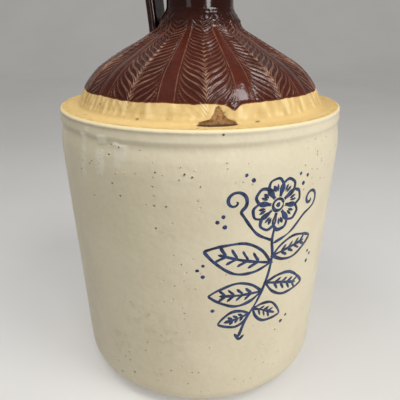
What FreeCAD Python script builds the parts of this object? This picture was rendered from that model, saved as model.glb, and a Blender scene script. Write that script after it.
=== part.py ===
import FreeCAD, Part
import math
import os
import Sketcher

# A one-gallon stoneware jug: a turned, slightly tapering body with a flat ledge, a domed shoulder
# with moulded leaves, a narrow neck with a rolled lip, and one strap handle. It is one fired
# piece, so it is one PartDesign body. Z is up, the origin is the centre of the base, and the
# handle stands on the -X side. Lengths are in millimetres and angles in degrees.

# Every size that can be set by itself, and what it is. Heights marked "ledge" count from there.
SIZES = {
    "BodyHeight": (180.8, "base to ledge"),
    "RimRadius": (89.0, "radius of the band round the ledge"),
    "BandHeight": (9.5, "plain band between groove and ledge"),
    "EdgeRounding": (2.4, "rounded outer edge of the ledge"),
    "GrooveDepth": (0.8, "groove behind the band"),
    "GrooveStep": (2.0, "height of the step from groove to band"),
    "GrooveRun": (6.5, "height over which the groove runs out into the wall"),
    "WallSwell": (0.6, "wall at the foot of the groove beyond the band"),
    "WallTaper": (5.5, "wall above the base rounding inside the band"),
    "BaseRounding": (15.0, "radius of the rounding under the wall"),
    "LedgeWidth": (12.6, "rim to the foot of the dome"),
    "FootFillet": (2.0, "fillet between ledge and dome"),
    "CrownInset": (19.6, "foot of the dome in to where it turns into a straight slope"),
    "CrownHeight": (26.1, "ledge to that turn"),
    "SlopeRise": (16.3, "height of the straight slope"),
    "NeckRadius": (20.3, "outside of the neck"),
    "CollarWidth": (4.3, "top of the collar round the neck's foot beyond the neck"),
    "CollarRise": (5.9, "height of the collar"),
    "CollarStep": (3.2, "height over which the collar runs into the neck"),
    "ThroatWidth": (3.9, "foot of the collar beyond its top"),
    "MouthHeight": (92.0, "ledge to the top of the lip"),
    "LipHeight": (16.0, "underside of the lip to its top"),
    "LipFlare": (3.0, "height over which the lip swells out"),
    "LipOverhang": (3.3, "lip beyond the neck"),
    "LipRounding": (3.5, "rounded upper edge of the lip"),
    "BoreRadius": (12.0, "bore through the neck"),
    "MouthRounding": (2.0, "rounded edge of the mouth"),
    "ThroatRounding": (4.0, "inside rounding where the dome meets the bore"),
    "WallThickness": (7.5, "side wall"),
    "FloorThickness": (9.0, "floor"),
    "FloorRounding": (12.0, "inside rounding between floor and wall"),
    "ShoulderDrop": (30.0, "ledge down to where the inside starts to close in"),
    "DomeThickness": (7.5, "wall of the dome, square to its slope"),
    "LeafCount": (11, "moulded leaves round the dome"),
    "FirstLeaf": (0.0, "angle of the first leaf from +X, opposite the handle"),
    "RibAngle": (3.4, "angle that a leaf's middle rib spans"),
    "RibRelief": (1.0, "rib above the dome"),
    "StripAngle": (6.4, "angle that a plain strip between two leaves spans"),
    "StripRelief": (0.7, "strip above the dome"),
    "ReliefRoot": (2.0, "how far ribs and strips reach into the wall"),
    "ReliefRise": (4.0, "ledge to the foot of ribs and strips"),
    "StrapWidth": (16.5, "handle strap, across"),
    "StrapThickness": (6.0, "handle strap, through"),
    "StrapRounding": (2.2, "rounded edges of the strap"),
    "StrapRoot": (5.3, "depth of the strap's upper end in the neck"),
    "StrapSpring": (1.3, "depth in the neck at which the strap starts to bend"),
    "StrapDrop": (2.5, "underside of the lip down to the strap's middle line"),
    "StrapBend": (12.0, "bend radius of the strap's middle line"),
    "StrapReach": (8.0, "neck to the middle line of the strap's lower end"),
    "StrapHeel": (5.9, "depth of the strap's lower end under the foot of the collar"),
}

ALIAS_COLUMN = "B"
START, END = 1, 2
ORIGIN, HORIZONTAL_AXIS, VERTICAL_AXIS = -1, -1, -2


class Length:
    """A length worked out from the sheet: its value now and the expression that binds it."""

    def __init__(self, value, text):
        self.value = value
        self.text = text

    def __add__(self, other):
        return Length(self.value + other.value, f"({self.text} + {other.text})")

    def __sub__(self, other):
        return Length(self.value - other.value, f"({self.text} - {other.text})")

    def __mul__(self, other):
        return Length(self.value * other.value, f"({self.text} * {other.text})")

    def __truediv__(self, other):
        return Length(self.value / other.value, f"({self.text} / {other.text})")

    def __neg__(self):
        return Length(-self.value, f"(-{self.text})")


def size(alias):
    """The named size from the sheet."""
    return Length(SIZES[alias][0], f"Sizes.{alias}")


def hypotenuse(run, rise):
    """Length of the slope over run and rise."""
    return Length(math.hypot(run.value, rise.value), f"sqrt({run.text}^2 + {rise.text}^2)")


ZERO = Length(0.0, "0")
HALF = Length(0.5, "0.5")
HALF_TURN = Length(180.0, "180")

# Heights above the base.
LEDGE = size("BodyHeight")
CROWN_HEIGHT = LEDGE + size("CrownHeight")
THROAT_HEIGHT = CROWN_HEIGHT + size("SlopeRise")
COLLAR_HEIGHT = THROAT_HEIGHT + size("CollarRise")
MOUTH_HEIGHT = LEDGE + size("MouthHeight")
LIP_FOOT = MOUTH_HEIGHT - size("LipHeight")
STRAP_TOP = LIP_FOOT - size("StrapDrop")
STRAP_FOOT = THROAT_HEIGHT - size("StrapHeel")

# Distances from the jug's axis.
WALL_TOP_RADIUS = size("RimRadius") + size("WallSwell")
BASE_RADIUS = size("RimRadius") - size("WallTaper")
FOOT_RADIUS = size("RimRadius") - size("LedgeWidth")
CROWN_RADIUS = FOOT_RADIUS - size("CrownInset")
COLLAR_RADIUS = size("NeckRadius") + size("CollarWidth")
THROAT_RADIUS = COLLAR_RADIUS + size("ThroatWidth")
LIP_RADIUS = size("NeckRadius") + size("LipOverhang")
STRAP_ROOT_X = size("StrapRoot") - size("NeckRadius")
STRAP_SPRING_X = size("StrapSpring") - size("NeckRadius")
STRAP_HEEL_X = -(size("NeckRadius") + size("StrapReach"))


def make_sheet(document):
    """Write the driving sizes, one row each, with their names as aliases."""
    sheet = document.addObject("Spreadsheet::Sheet", "Sizes")
    for row, (alias, (value, note)) in enumerate(SIZES.items(), start=1):
        sheet.set(f"A{row}", note)
        sheet.set(f"{ALIAS_COLUMN}{row}", str(value))
        sheet.setAlias(f"{ALIAS_COLUMN}{row}", alias)
    document.recompute()


def origin_plane(body, role):
    """One of the body's own origin planes, by its role."""
    for feature in body.Origin.OriginFeatures:
        if feature.Role == role:
            return feature
    raise RuntimeError(f"{body.Label} has no plane {role}")


def add_sketch(body, name, role):
    """A new sketch on one of the body's origin planes."""
    sketch = body.newObject("Sketcher::SketchObject", name)
    sketch.AttachmentSupport = [(origin_plane(body, role), "")]
    sketch.MapMode = "FlatFace"
    return sketch


def tangent_arc(first, last, direction, at_first):
    """An arc from first to last that runs along direction at one of its two ends."""
    touch, other = (first, last) if at_first else (last, first)
    normal = FreeCAD.Vector(-direction.y, direction.x, 0).normalize()
    chord = other - touch
    reach = chord.Length ** 2 / (2 * chord.dot(normal))
    centre = touch + normal * reach
    start = math.atan2(first.y - centre.y, first.x - centre.x)
    end = math.atan2(last.y - centre.y, last.x - centre.x)
    turn = (last - first).cross(centre - first).z
    forward = turn > 0
    if not forward:
        start, end = end, start
    if end < start:
        end += 2 * math.pi
    circle = Part.Circle(centre, FreeCAD.Vector(0, 0, 1), abs(reach))
    return Part.ArcOfCircle(circle, start, end), forward


def pin_point(sketch, geometry, end, across, up):
    """Hold one end of a curve at a place given by two lengths."""
    axes = (("DistanceX", across, VERTICAL_AXIS), ("DistanceY", up, HORIZONTAL_AXIS))
    for kind, length, axis in axes:
        if length is ZERO:
            sketch.addConstraint(Sketcher.Constraint("PointOnObject", geometry, end, axis))
            continue
        number = sketch.addConstraint(
            Sketcher.Constraint(kind, ORIGIN, START, geometry, end, length.value))
        sketch.setExpression(f"Constraints[{number}]", length.text)


def draw_loop(sketch, corners, arcs):
    """Draw a closed loop through corners, each a pair of lengths.

    arcs maps the number of an edge that is an arc to the end where it runs on smoothly from the
    straight edge next to it. The other edges are straight.
    """
    points = [FreeCAD.Vector(across.value, up.value, 0) for across, up in corners]
    count = len(points)
    ends = []
    for edge in range(count):
        first, last = points[edge], points[(edge + 1) % count]
        if edge not in arcs:
            number = sketch.addGeometry(Part.LineSegment(first, last))
            ends.append((number, START, END))
            continue
        at_first = arcs[edge] == START
        neighbour = edge - 1 if at_first else (edge + 1) % count
        direction = points[(neighbour + 1) % count] - points[neighbour]
        arc, forward = tangent_arc(first, last, direction, at_first)
        number = sketch.addGeometry(arc)
        ends.append((number, START, END) if forward else (number, END, START))
    for edge in range(count):
        number, first_end, last_end = ends[edge]
        after = (edge + 1) % count
        smooth = arcs.get(edge) == END or arcs.get(after) == START
        kind = "Tangent" if smooth else "Coincident"
        sketch.addConstraint(
            Sketcher.Constraint(kind, number, last_end, ends[after][0], ends[after][1]))
        pin_point(sketch, number, first_end, *corners[edge])


def moved_off_slope(radius, height, distance):
    """A point of the dome's straight slope moved square to it by distance, outwards if positive."""
    run = CROWN_RADIUS - THROAT_RADIUS
    rise = size("SlopeRise")
    slope = hypotenuse(run, rise)
    return radius + distance * rise / slope, height + distance * run / slope


def turn_outside(body):
    """Turn the whole outer shape round the Z axis."""
    rim = size("RimRadius")
    band_foot = LEDGE - size("BandHeight")
    groove_top = band_foot - size("GrooveStep")
    corners = [
        (ZERO, ZERO),
        (BASE_RADIUS - size("BaseRounding"), ZERO),
        (BASE_RADIUS, size("BaseRounding")),
        (WALL_TOP_RADIUS, groove_top - size("GrooveRun")),
        (rim - size("GrooveDepth"), groove_top),
        (rim, band_foot),
        (rim, LEDGE - size("EdgeRounding")),
        (rim - size("EdgeRounding"), LEDGE),
        (FOOT_RADIUS + size("FootFillet"), LEDGE),
        (FOOT_RADIUS, LEDGE + size("FootFillet")),
        (CROWN_RADIUS, CROWN_HEIGHT),
        (THROAT_RADIUS, THROAT_HEIGHT),
        (COLLAR_RADIUS, COLLAR_HEIGHT),
        (size("NeckRadius"), COLLAR_HEIGHT + size("CollarStep")),
        (size("NeckRadius"), LIP_FOOT),
        (LIP_RADIUS, LIP_FOOT + size("LipFlare")),
        (LIP_RADIUS, MOUTH_HEIGHT - size("LipRounding")),
        (LIP_RADIUS - size("LipRounding"), MOUTH_HEIGHT),
        (ZERO, MOUTH_HEIGHT),
    ]
    arcs = {1: START, 6: START, 8: START, 9: END, 16: START}
    sketch = add_sketch(body, "OuterOutline", "XZ_Plane")
    draw_loop(sketch, corners, arcs)
    turned = body.newObject("PartDesign::Revolution", "TurnedJug")
    turned.Profile = sketch
    turned.ReferenceAxis = (sketch, ["V_Axis"])
    turned.Angle = 360
    return turned


def add_relief(body, name, angle, relief, first_turn):
    """Raise one strip that runs up the dome and repeat it round the Z axis, once for each leaf."""
    root = -size("ReliefRoot")
    foot = LEDGE + size("ReliefRise")
    corners = [
        (FOOT_RADIUS + relief, foot),
        moved_off_slope(CROWN_RADIUS, CROWN_HEIGHT, relief),
        moved_off_slope(THROAT_RADIUS, THROAT_HEIGHT, relief),
        moved_off_slope(THROAT_RADIUS, THROAT_HEIGHT, root),
        moved_off_slope(CROWN_RADIUS, CROWN_HEIGHT, root),
        (FOOT_RADIUS + root, foot),
    ]
    sketch = add_sketch(body, f"{name}Outline", "XZ_Plane")
    turn = FreeCAD.Rotation(FreeCAD.Vector(0, 1, 0), first_turn.value)
    sketch.AttachmentOffset = FreeCAD.Placement(FreeCAD.Vector(), turn)
    sketch.setExpression("AttachmentOffset.Rotation.Angle", first_turn.text)
    draw_loop(sketch, corners, {0: END, 4: START})
    strip = body.newObject("PartDesign::Revolution", name)
    strip.Profile = sketch
    strip.ReferenceAxis = (sketch, ["V_Axis"])
    strip.Midplane = True
    strip.setExpression("Angle", angle.text)
    pattern = body.newObject("PartDesign::PolarPattern", f"{name}Pattern")
    pattern.Originals = [strip]
    pattern.Axis = (sketch, ["V_Axis"])
    pattern.Angle = 360
    pattern.setExpression("Occurrences", size("LeafCount").text)
    body.Tip = pattern
    return pattern


def draw_strap_path(path):
    """The strap's middle line: level out of the neck, round a bend and down into the dome."""
    root = FreeCAD.Vector(STRAP_ROOT_X.value, STRAP_TOP.value, 0)
    spring = FreeCAD.Vector(STRAP_SPRING_X.value, STRAP_TOP.value, 0)
    heel = FreeCAD.Vector(STRAP_HEEL_X.value, STRAP_FOOT.value, 0)
    bend = size("StrapBend")
    centre = spring - FreeCAD.Vector(0, bend.value, 0)
    outermost = centre - FreeCAD.Vector(bend.value, 0, 0)
    circle = Part.Circle(centre, FreeCAD.Vector(0, 0, 1), bend.value)
    upper = path.addGeometry(Part.LineSegment(root, spring))
    curve = path.addGeometry(Part.ArcOfCircle(circle, math.pi / 2, math.pi))
    lower = path.addGeometry(Part.LineSegment(outermost, heel))
    pin_point(path, upper, START, STRAP_ROOT_X, STRAP_TOP)
    pin_point(path, upper, END, STRAP_SPRING_X, STRAP_TOP)
    pin_point(path, lower, END, STRAP_HEEL_X, STRAP_FOOT)
    path.addConstraint(Sketcher.Constraint("Tangent", upper, END, curve, START))
    path.addConstraint(Sketcher.Constraint("Tangent", curve, END, lower, START))
    number = path.addConstraint(Sketcher.Constraint("Radius", curve, bend.value))
    path.setExpression(f"Constraints[{number}]", bend.text)


def draw_strap_section(section):
    """The strap's rounded rectangle, standing across the upper end of its path."""
    side = size("StrapWidth") * HALF
    flat_side = side - size("StrapRounding")
    top = STRAP_TOP + size("StrapThickness") * HALF
    flat_top = top - size("StrapRounding")
    bottom = STRAP_TOP - size("StrapThickness") * HALF
    flat_bottom = bottom + size("StrapRounding")
    section.setExpression("AttachmentOffset.Base.z", STRAP_ROOT_X.text)
    corners = [
        (flat_side, bottom),
        (side, flat_bottom),
        (side, flat_top),
        (flat_side, top),
        (-flat_side, top),
        (-side, flat_top),
        (-side, flat_bottom),
        (-flat_side, bottom),
    ]
    draw_loop(section, corners, {0: END, 2: START, 4: START, 6: START})


def add_handle(body):
    """Sweep the strap from the neck out, down and into the dome, on the -X side."""
    path = add_sketch(body, "StrapPath", "XZ_Plane")
    draw_strap_path(path)
    section = add_sketch(body, "StrapSection", "YZ_Plane")
    draw_strap_section(section)
    strap = body.newObject("PartDesign::AdditivePipe", "Strap")
    strap.Profile = section
    strap.Spine = path
    return strap


def hollow_out(body):
    """Turn the hollow inside and the bore through the neck."""
    bore = size("BoreRadius")
    floor = size("FloorThickness")
    inner_base = BASE_RADIUS - size("WallThickness")
    inner_top = WALL_TOP_RADIUS - size("WallThickness")
    crown_x, crown_z = moved_off_slope(CROWN_RADIUS, CROWN_HEIGHT, -size("DomeThickness"))
    throat_x = bore + size("ThroatRounding")
    run = CROWN_RADIUS - THROAT_RADIUS
    throat_z = crown_z + (crown_x - throat_x) * size("SlopeRise") / run
    corners = [
        (ZERO, floor),
        (inner_base - size("FloorRounding"), floor),
        (inner_base, floor + size("FloorRounding")),
        (inner_top, LEDGE - size("ShoulderDrop")),
        (crown_x, crown_z),
        (throat_x, throat_z),
        (bore, throat_z + size("ThroatRounding")),
        (bore, MOUTH_HEIGHT - size("MouthRounding")),
        (bore + size("MouthRounding"), MOUTH_HEIGHT),
        (ZERO, MOUTH_HEIGHT),
    ]
    sketch = add_sketch(body, "HollowOutline", "XZ_Plane")
    draw_loop(sketch, corners, {1: START, 3: END, 5: END, 7: START})
    hollow = body.newObject("PartDesign::Groove", "Hollow")
    hollow.Profile = sketch
    hollow.ReferenceAxis = (sketch, ["V_Axis"])
    hollow.Angle = 360
    return hollow


def build_jug(document):
    """The one fired piece, feature by feature, each checked for the way it changes the volume."""
    body = document.addObject("PartDesign::Body", "jug")
    body.Label = "jug"
    first_leaf = size("FirstLeaf")
    first_strip = first_leaf + HALF_TURN / size("LeafCount")
    steps = [
        (turn_outside, ()),
        (add_handle, ()),
        (add_relief, ("LeafRib", size("RibAngle"), size("RibRelief"), first_leaf)),
        (add_relief, ("PlainStrip", size("StripAngle"), size("StripRelief"), first_strip)),
        (hollow_out, ()),
    ]
    volume = 0.0
    for add_feature, details in steps:
        feature = add_feature(body, *details)
        document.recompute()
        change = feature.Shape.Volume - volume
        volume = feature.Shape.Volume
        print(f"{feature.Label}: {change:+.0f} mm3")
        cuts = feature.isDerivedFrom("PartDesign::Groove")
        if (change > 0) == cuts:
            raise RuntimeError(f"{feature.Label} changes the volume the wrong way")
    body.Placement = FreeCAD.Placement()
    return body


def check_document(document):
    """Stop if any object failed to recompute."""
    for item in document.Objects:
        if "Invalid" in item.State or "Error" in item.State:
            raise RuntimeError(f"{item.Label} did not recompute: {item.State}")


def export_nodes(nodes):
    """Check each sub-part's shape and write it to parts/ under its own label."""
    for node in nodes:
        shape = node.Shape
        if shape.isNull() or not shape.isValid() or len(shape.Solids) != 1:
            raise RuntimeError(f"{node.Label} is not one valid solid")
        print(f"{node.Label}: {shape.Volume / 1000:.1f} cm3, box {shape.BoundBox}")
        shape.exportStep(os.path.join("parts", f"{node.Label}.step"))


def main():
    document = FreeCAD.newDocument("StonewareJug")
    make_sheet(document)
    nodes = [build_jug(document)]
    document.recompute()
    check_document(document)
    os.makedirs("parts", exist_ok=True)
    export_nodes(nodes)


main()
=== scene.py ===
"""A stoneware jug: white-glazed wall, brown crown pressed with long leaves, strap handle.

The pieces are turned and pressed as a potter would make them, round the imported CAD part.
Lengths are metres, unless a comment says millimetres. Turns are degrees from the jug's face,
anticlockwise seen from above.
"""

import math
import random

import bpy
import numpy as np
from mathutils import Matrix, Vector


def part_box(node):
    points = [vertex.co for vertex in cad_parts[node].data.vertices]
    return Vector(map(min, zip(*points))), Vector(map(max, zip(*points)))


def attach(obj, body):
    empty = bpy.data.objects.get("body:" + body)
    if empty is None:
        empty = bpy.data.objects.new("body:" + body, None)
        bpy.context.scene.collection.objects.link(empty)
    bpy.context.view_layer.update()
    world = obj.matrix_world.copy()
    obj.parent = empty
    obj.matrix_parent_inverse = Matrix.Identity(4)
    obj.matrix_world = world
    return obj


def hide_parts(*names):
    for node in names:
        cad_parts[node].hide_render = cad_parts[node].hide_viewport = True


bl_info = {
    "name": "Stoneware Jug",
    "version": (1, 0, 0),
    "blender": (4, 5, 0),
    "location": "3D View > Sidebar > Jug",
    "description": "Models a glazed stoneware jug with a leaf-pressed crown",
    "category": "Object",
}

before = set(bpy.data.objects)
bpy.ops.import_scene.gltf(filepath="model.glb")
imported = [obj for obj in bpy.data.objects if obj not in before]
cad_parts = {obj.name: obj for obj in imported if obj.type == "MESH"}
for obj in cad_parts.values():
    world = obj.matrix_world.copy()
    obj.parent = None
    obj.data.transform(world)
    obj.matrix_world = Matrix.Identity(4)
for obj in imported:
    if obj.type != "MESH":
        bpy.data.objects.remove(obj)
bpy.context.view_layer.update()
JUG_LOW, JUG_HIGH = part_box("jug")
AXIS = (JUG_LOW + JUG_HIGH) / 2
BASE = JUG_LOW.z
MOUTH = JUG_HIGH.z
WIDEST = (JUG_HIGH.x - JUG_LOW.x) / 2

MM = 0.001
TAU = 2 * math.pi
FACE = -68.0

WALL_COLUMNS = 420
NECK_COLUMNS = 144
CROWN_HALF_COLUMNS = 22
CURVE_STEPS = 24
WAVES = 7
WAVES_HEIGHT = 3.2


def length(name, default, description):
    """A length that the user can change; its default is in millimetres."""
    return bpy.props.FloatProperty(
        name=name, description=description, default=default * MM, min=0.0, precision=4,
        subtype="DISTANCE", unit="LENGTH",
    )


def angle(name, default, description):
    """An angle that the user can change; its default is in degrees."""
    return bpy.props.FloatProperty(
        name=name, description=description, default=math.radians(default),
        subtype="ANGLE", unit="ROTATION",
    )


def power(name, default, description):
    """A lamp's power in watts."""
    return bpy.props.FloatProperty(
        name=name, description=description, default=default, min=0.0, unit="POWER"
    )


def number(name, default, description, lowest=0.0, highest=1.0):
    """A plain number that the user can change."""
    return bpy.props.FloatProperty(
        name=name, description=description, default=default, min=lowest, max=highest
    )


def tint(name, red, green, blue, description):
    """A colour that the user can change; its default is 0 to 255 display values."""
    return bpy.props.FloatVectorProperty(
        name=name, description=description, default=linear(red, green, blue),
        size=3, min=0.0, max=1.0, subtype="COLOR",
    )


def linear(red, green, blue):
    """Display values from 0 to 255 as scene-linear values."""
    shares = [value / 255 for value in (red, green, blue)]
    return tuple(s / 12.92 if s <= 0.04045 else ((s + 0.055) / 1.055) ** 2.4 for s in shares)


class WallSizes(bpy.types.PropertyGroup):
    """Sizes of the wall, its band and its base."""

    height: length("Height to ledge", 180.8, "From the base to the ledge")
    rim_radius: length("Rim radius", 88.4, "Radius of the band under the ledge")
    swell: length("Swell", 0.8, "How far the wall stands out under the groove")
    taper: length("Taper", 4.9, "How much the wall draws in down to the base")
    base_rounding: length("Base rounding", 15, "Rounding between wall and base")
    edge_rounding: length("Edge rounding", 1.8, "Rounded upper edge of the band")
    band_height: length("Band height", 7.3, "Ledge down to the groove")
    groove_depth: length("Groove depth", 0.75, "Depth of the groove under the band")
    thickness: length("Wall thickness", 7.5, "Thickness of wall and shoulder")
    floor: length("Floor thickness", 9, "Thickness of the floor")
    pit_depth: length("Pit depth", 0.45, "Depth of a middling pit in the glaze")
    run_build: length("Run thickness", 0.13, "How far thick runs of glaze stand out")


class CrownSizes(bpy.types.PropertyGroup):
    """Sizes of the pressed crown."""

    leaves: bpy.props.IntProperty(
        name="Leaves", description="Leaves pressed round the crown", default=11, min=3, max=24
    )
    foot_radius: length("Foot radius", 76.4, "Radius of the crown's foot on the ledge")
    inset: length("Inset", 19.6, "Foot of the crown in to its straight slope")
    height: length("Height of the turn", 26.1, "Ledge to the foot of the straight slope")
    slope: length("Slope rise", 16.3, "Height of the straight slope")
    throat: length("Throat", 3.9, "Foot of the collar beyond its top")
    collar: length("Collar", 4.3, "Top of the collar beyond the neck")
    collar_rise: length("Collar rise", 5.9, "Height of the collar")
    ground: length("Ground", 0.7, "How deep the ground between ridges lies")
    ridge: length("Ridge", 0.8, "Height of a leaflet's ridges")
    midrib: length("Midrib", 0.35, "Height of a leaf's midrib")
    band: length("Plain band", 0.6, "Height of the plain bands between leaves")
    border: length("Border line", 0.42, "Height of the line beside each plain band")
    glaze_edge: length("Glaze edge", 22, "From the rim over the crown to the glaze's edge")
    chip_depth: length("Chip depth", 1.1, "Depth of the chip at the crown's foot")


class NeckSizes(bpy.types.PropertyGroup):
    """Sizes of the neck and its lip."""

    radius: length("Neck radius", 20.3, "Radius of the neck")
    bore: length("Bore radius", 12, "Radius of the bore")
    lip_height: length("Lip height", 16, "Height of the thick lip")
    lip_overhang: length("Lip overhang", 3.3, "How far the lip stands out")
    lip_rounding: length("Lip rounding", 3.5, "Rounding of the lip's upper edge")


class StrapSizes(bpy.types.PropertyGroup):
    """Sizes of the strap handle."""

    width: length("Strap width", 16.5, "Width of the strap")
    thickness: length("Strap thickness", 6, "Thickness of the strap")
    rounding: length("Strap rounding", 2.2, "Rounding of the strap's edges")
    bend: length("Strap bend", 12, "Bend radius of the strap's middle line")
    drop: length("Strap drop", 2.5, "Lip down to the strap's middle line")
    reach: length("Strap reach", 8, "Neck to the strap's lower end")


class SprigSizes(bpy.types.PropertyGroup):
    """Place and size of the painted sprig."""

    turn: angle("Turn", 24.0, "Where the sprig's middle lies on the wall")
    drop: length("Drop", 73, "Ledge down to the sprig's middle")
    scale: number("Scale", 1.0, "Size of the whole sprig", lowest=0.1, highest=2.0)
    stroke: length("Stroke width", 2.0, "Width of a brush stroke")
    build: length("Stroke thickness", 0.08, "How far the painted line stands out")


class Finishes(bpy.types.PropertyGroup):
    """Colours of the glazes and the bare clay."""

    white: tint("White glaze", 230, 219, 191, "The wall's glaze")
    white_thin: tint("Thin white glaze", 211, 199, 168, "The wall's glaze where it is thin")
    white_thick: tint("Thick white glaze", 236, 230, 210, "The wall's glaze where it has run")
    cream: tint("Cream rim", 238, 221, 178, "The wiped upper edge of the rim")
    brown: tint("Brown glaze", 86, 38, 26, "The crown's glaze")
    brown_pool: tint("Pooled brown glaze", 42, 15, 10, "The crown's glaze where it is thick")
    # Near-black glaze of neck, handle and the crown's top: thick glaze, darkened partly as painted
    # shade for the dim surroundings it mirrors.
    brown_deep_and_shade: tint("Deep brown glaze", 24, 6, 4, "The thick glaze of neck and handle")
    # Lighter glaze over ridges and edges: partly thin glaze breaking, partly painted highlight.
    brown_break_and_highlight: tint("Broken brown glaze", 172, 132, 108, "The glaze where it breaks over a ridge")
    brown_edge: tint("Glaze edge", 128, 66, 32, "The thin edge of the brown glaze")
    buff: tint("Bare clay", 226, 194, 130, "The unglazed clay of the ledge")
    # Painted light: paler streaks on the clay's small facets.
    buff_lit: tint("Pale bare clay", 238, 212, 156, "Paler streaks of the unglazed clay")
    buff_shade: tint("Shaded bare clay", 203, 171, 110, "Darker patches of the unglazed clay")
    broken: tint("Broken clay", 174, 128, 74, "The clay inside a chip")
    # Also darkens the chip's lower part.
    broken_dark: tint("Dirt", 76, 50, 26, "Dirt in the chip, and dark specks")
    # The pit colour also paints shade in the groove and in the dark line under the rim's cream
    # edge.
    pit: tint("Pit", 116, 101, 76, "Pits, stains and dirt in the white glaze")
    iron: tint("Iron", 122, 104, 44, "The paler parts of an iron speck")
    cobalt: tint("Cobalt", 36, 66, 118, "The painted sprig")
    cobalt_deep: tint("Deep cobalt", 10, 21, 54, "The painted sprig where the brush was full")


class StageSettings(bpy.types.PropertyGroup):
    """Floor, light and camera."""

    floor: tint("Floor", 206, 204, 201, "Colour of floor and backdrop")
    key: power("Key light", 1.95, "Power of the main light")
    window: power("Window light", 2.75, "Power of the tall light")
    top: power("Top light", 1.45, "Power of the wide light from above")
    side: power("Side light", 0.42, "Power of the weak light on the left")
    fill: power("Fill light", 4.3, "Power of the wide light on the right")
    sky: number("Room light", 0.13, "Strength of the even light", highest=10.0)
    glow: number("Floor glow", 0.4, "How much paler the floor and backdrop look")
    lens: length("Lens", 39.6, "Focal length of the camera")
    distance: length("Distance", 292.4, "From the jug's axis to the camera")
    eye: length("Eye height", 228.3, "Height of the camera above the base")
    pitch: angle("Pitch", 22.07, "How far the camera looks down")


GROUPS = {
    "jug_wall": WallSizes,
    "jug_crown": CrownSizes,
    "jug_neck": NeckSizes,
    "jug_strap": StrapSizes,
    "jug_sprig": SprigSizes,
    "jug_finish": Finishes,
    "jug_stage": StageSettings,
}


# Shaping helpers


def smooth(low, high, values):
    """A soft step from 0 at low to 1 at high."""
    part = np.clip((np.asarray(values, float) - low) / (high - low), 0, 1)
    return part * part * (3 - 2 * part)


def bump(values, middle, reach):
    """A soft hump of height 1 round middle."""
    return np.exp(-(((np.asarray(values, float) - middle) / reach) ** 2))


def uneven(seed, grain, *places):
    """Smooth unevenness between about -1 and 1, in waves about one grain long.

    The seed picks the pattern, and each effect has its own.
    """
    draw = random.Random(seed)
    total = 0
    for _ in range(WAVES):
        phase = draw.uniform(0, TAU)
        for spot in places:
            phase = phase + spot * draw.uniform(-1, 1) * TAU / grain
        total = total + np.sin(phase)
    return total / WAVES_HEIGHT


def wrapped(turns):
    """Turns in degrees brought into -180 to 180."""
    return (np.asarray(turns) + 180.0) % 360.0 - 180.0


def around(degrees, radius):
    """Length of an arc of that many degrees."""
    return degrees * radius * TAU / 360


def heading_of(degrees):
    """The unit step in that direction in a plane."""
    return np.array([math.cos(math.radians(degrees)), math.sin(math.radians(degrees))])


def walked(path):
    """Length along a path at each of its points."""
    return np.concatenate([[0], np.cumsum(np.linalg.norm(np.diff(path, axis=0), axis=1))])


def sampled(marks, run, path):
    """Values of path at those marks along its run."""
    return np.stack([np.interp(marks, run, path[:, axis]) for axis in range(path.shape[1])], -1)


def evened(path, step):
    """The same polyline in even steps of about that length, with both ends kept."""
    path = np.asarray(path, float)
    run = walked(path)
    count = max(2, round(run[-1] / step) + 1)
    return sampled(np.linspace(0, run[-1], count), run, path)


def evened_ring(ring, count):
    """A closed ring with that many evenly spaced points."""
    ring = np.vstack([ring, ring[:1]])
    run = walked(ring)
    return sampled(np.linspace(0, run[-1], count, endpoint=False), run, ring)


def resampled(path, step):
    """A smooth line through the points of path, in even steps of about that length."""
    path = np.asarray(path, float)
    ends = np.vstack([2 * path[0] - path[1], path, 2 * path[-1] - path[-2]])
    part = np.linspace(0, 1, CURVE_STEPS, endpoint=False)[:, None]
    pieces = []
    for before, first, last, after in zip(ends, ends[1:], ends[2:], ends[3:]):
        pull = 2 * before - 5 * first + 4 * last - after
        swing = 3 * first - before - 3 * last + after
        pieces.append(
            0.5 * (2 * first + (last - before) * part + pull * part**2 + swing * part**3)
        )
    return evened(np.vstack([*pieces, path[-1:]]), step)


def arc(centre, radius, first, last, count):
    """Points on an arc in the plane of radius and height; turns are in degrees."""
    turns = np.radians(np.linspace(first, last, count))
    return np.stack(
        [centre[0] + radius * np.cos(turns), centre[1] + radius * np.sin(turns)], 1
    )


def arc_along(touch, way, end, count):
    """Points on the arc that leaves touch along way, either way round, and reaches end."""
    touch, end = np.array(touch, float), np.array(end, float)
    across = np.array([-way[1], way[0]]) / np.hypot(*way)
    chord = end - touch
    centre = touch + across * (chord @ chord) / (2 * chord @ across)
    first, last = (math.atan2(*(spot - centre)[::-1]) for spot in (touch, end))
    last = first + (last - first + math.pi) % TAU - math.pi
    return arc(centre, math.dist(centre, touch), math.degrees(first), math.degrees(last), count)


def beside(radius, height, *steps):
    """Points of an outline, each given as millimetres out and up from one place."""
    return [(radius + out * MM, height + up * MM) for out, up in steps]


def joined(*paths):
    """One path from several, with doubled points left out."""
    whole = np.vstack([np.asarray(path, float) for path in paths])
    keep = np.concatenate([[True], np.linalg.norm(np.diff(whole, axis=0), axis=1) > 1e-6])
    return whole[keep]


def turned(radius, turns, height):
    """Points at that radius, turn from the face and height."""
    heading = np.radians(np.asarray(turns) + FACE)
    radius, heading, height = np.broadcast_arrays(radius, heading, height)
    return np.stack(
        [AXIS.x + radius * np.cos(heading), AXIS.y + radius * np.sin(heading), BASE + height], -1
    )


def ways(turns):
    """The unit step outward at those turns, as its two level parts."""
    heading = np.radians(turns + FACE)
    return np.cos(heading), np.sin(heading)


def path_normals(path):
    """Normals to the right of a path in its plane."""
    slope = np.gradient(path, axis=0)
    slope /= np.linalg.norm(slope, axis=1)[:, None]
    return np.stack([slope[:, 1], -slope[:, 0]], 1)


def outward_normals(path):
    """Normals of a path in the plane of radius and height, away from the axis."""
    normals = path_normals(path)
    return -normals if normals[len(normals) // 2, 0] < 0 else normals


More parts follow.
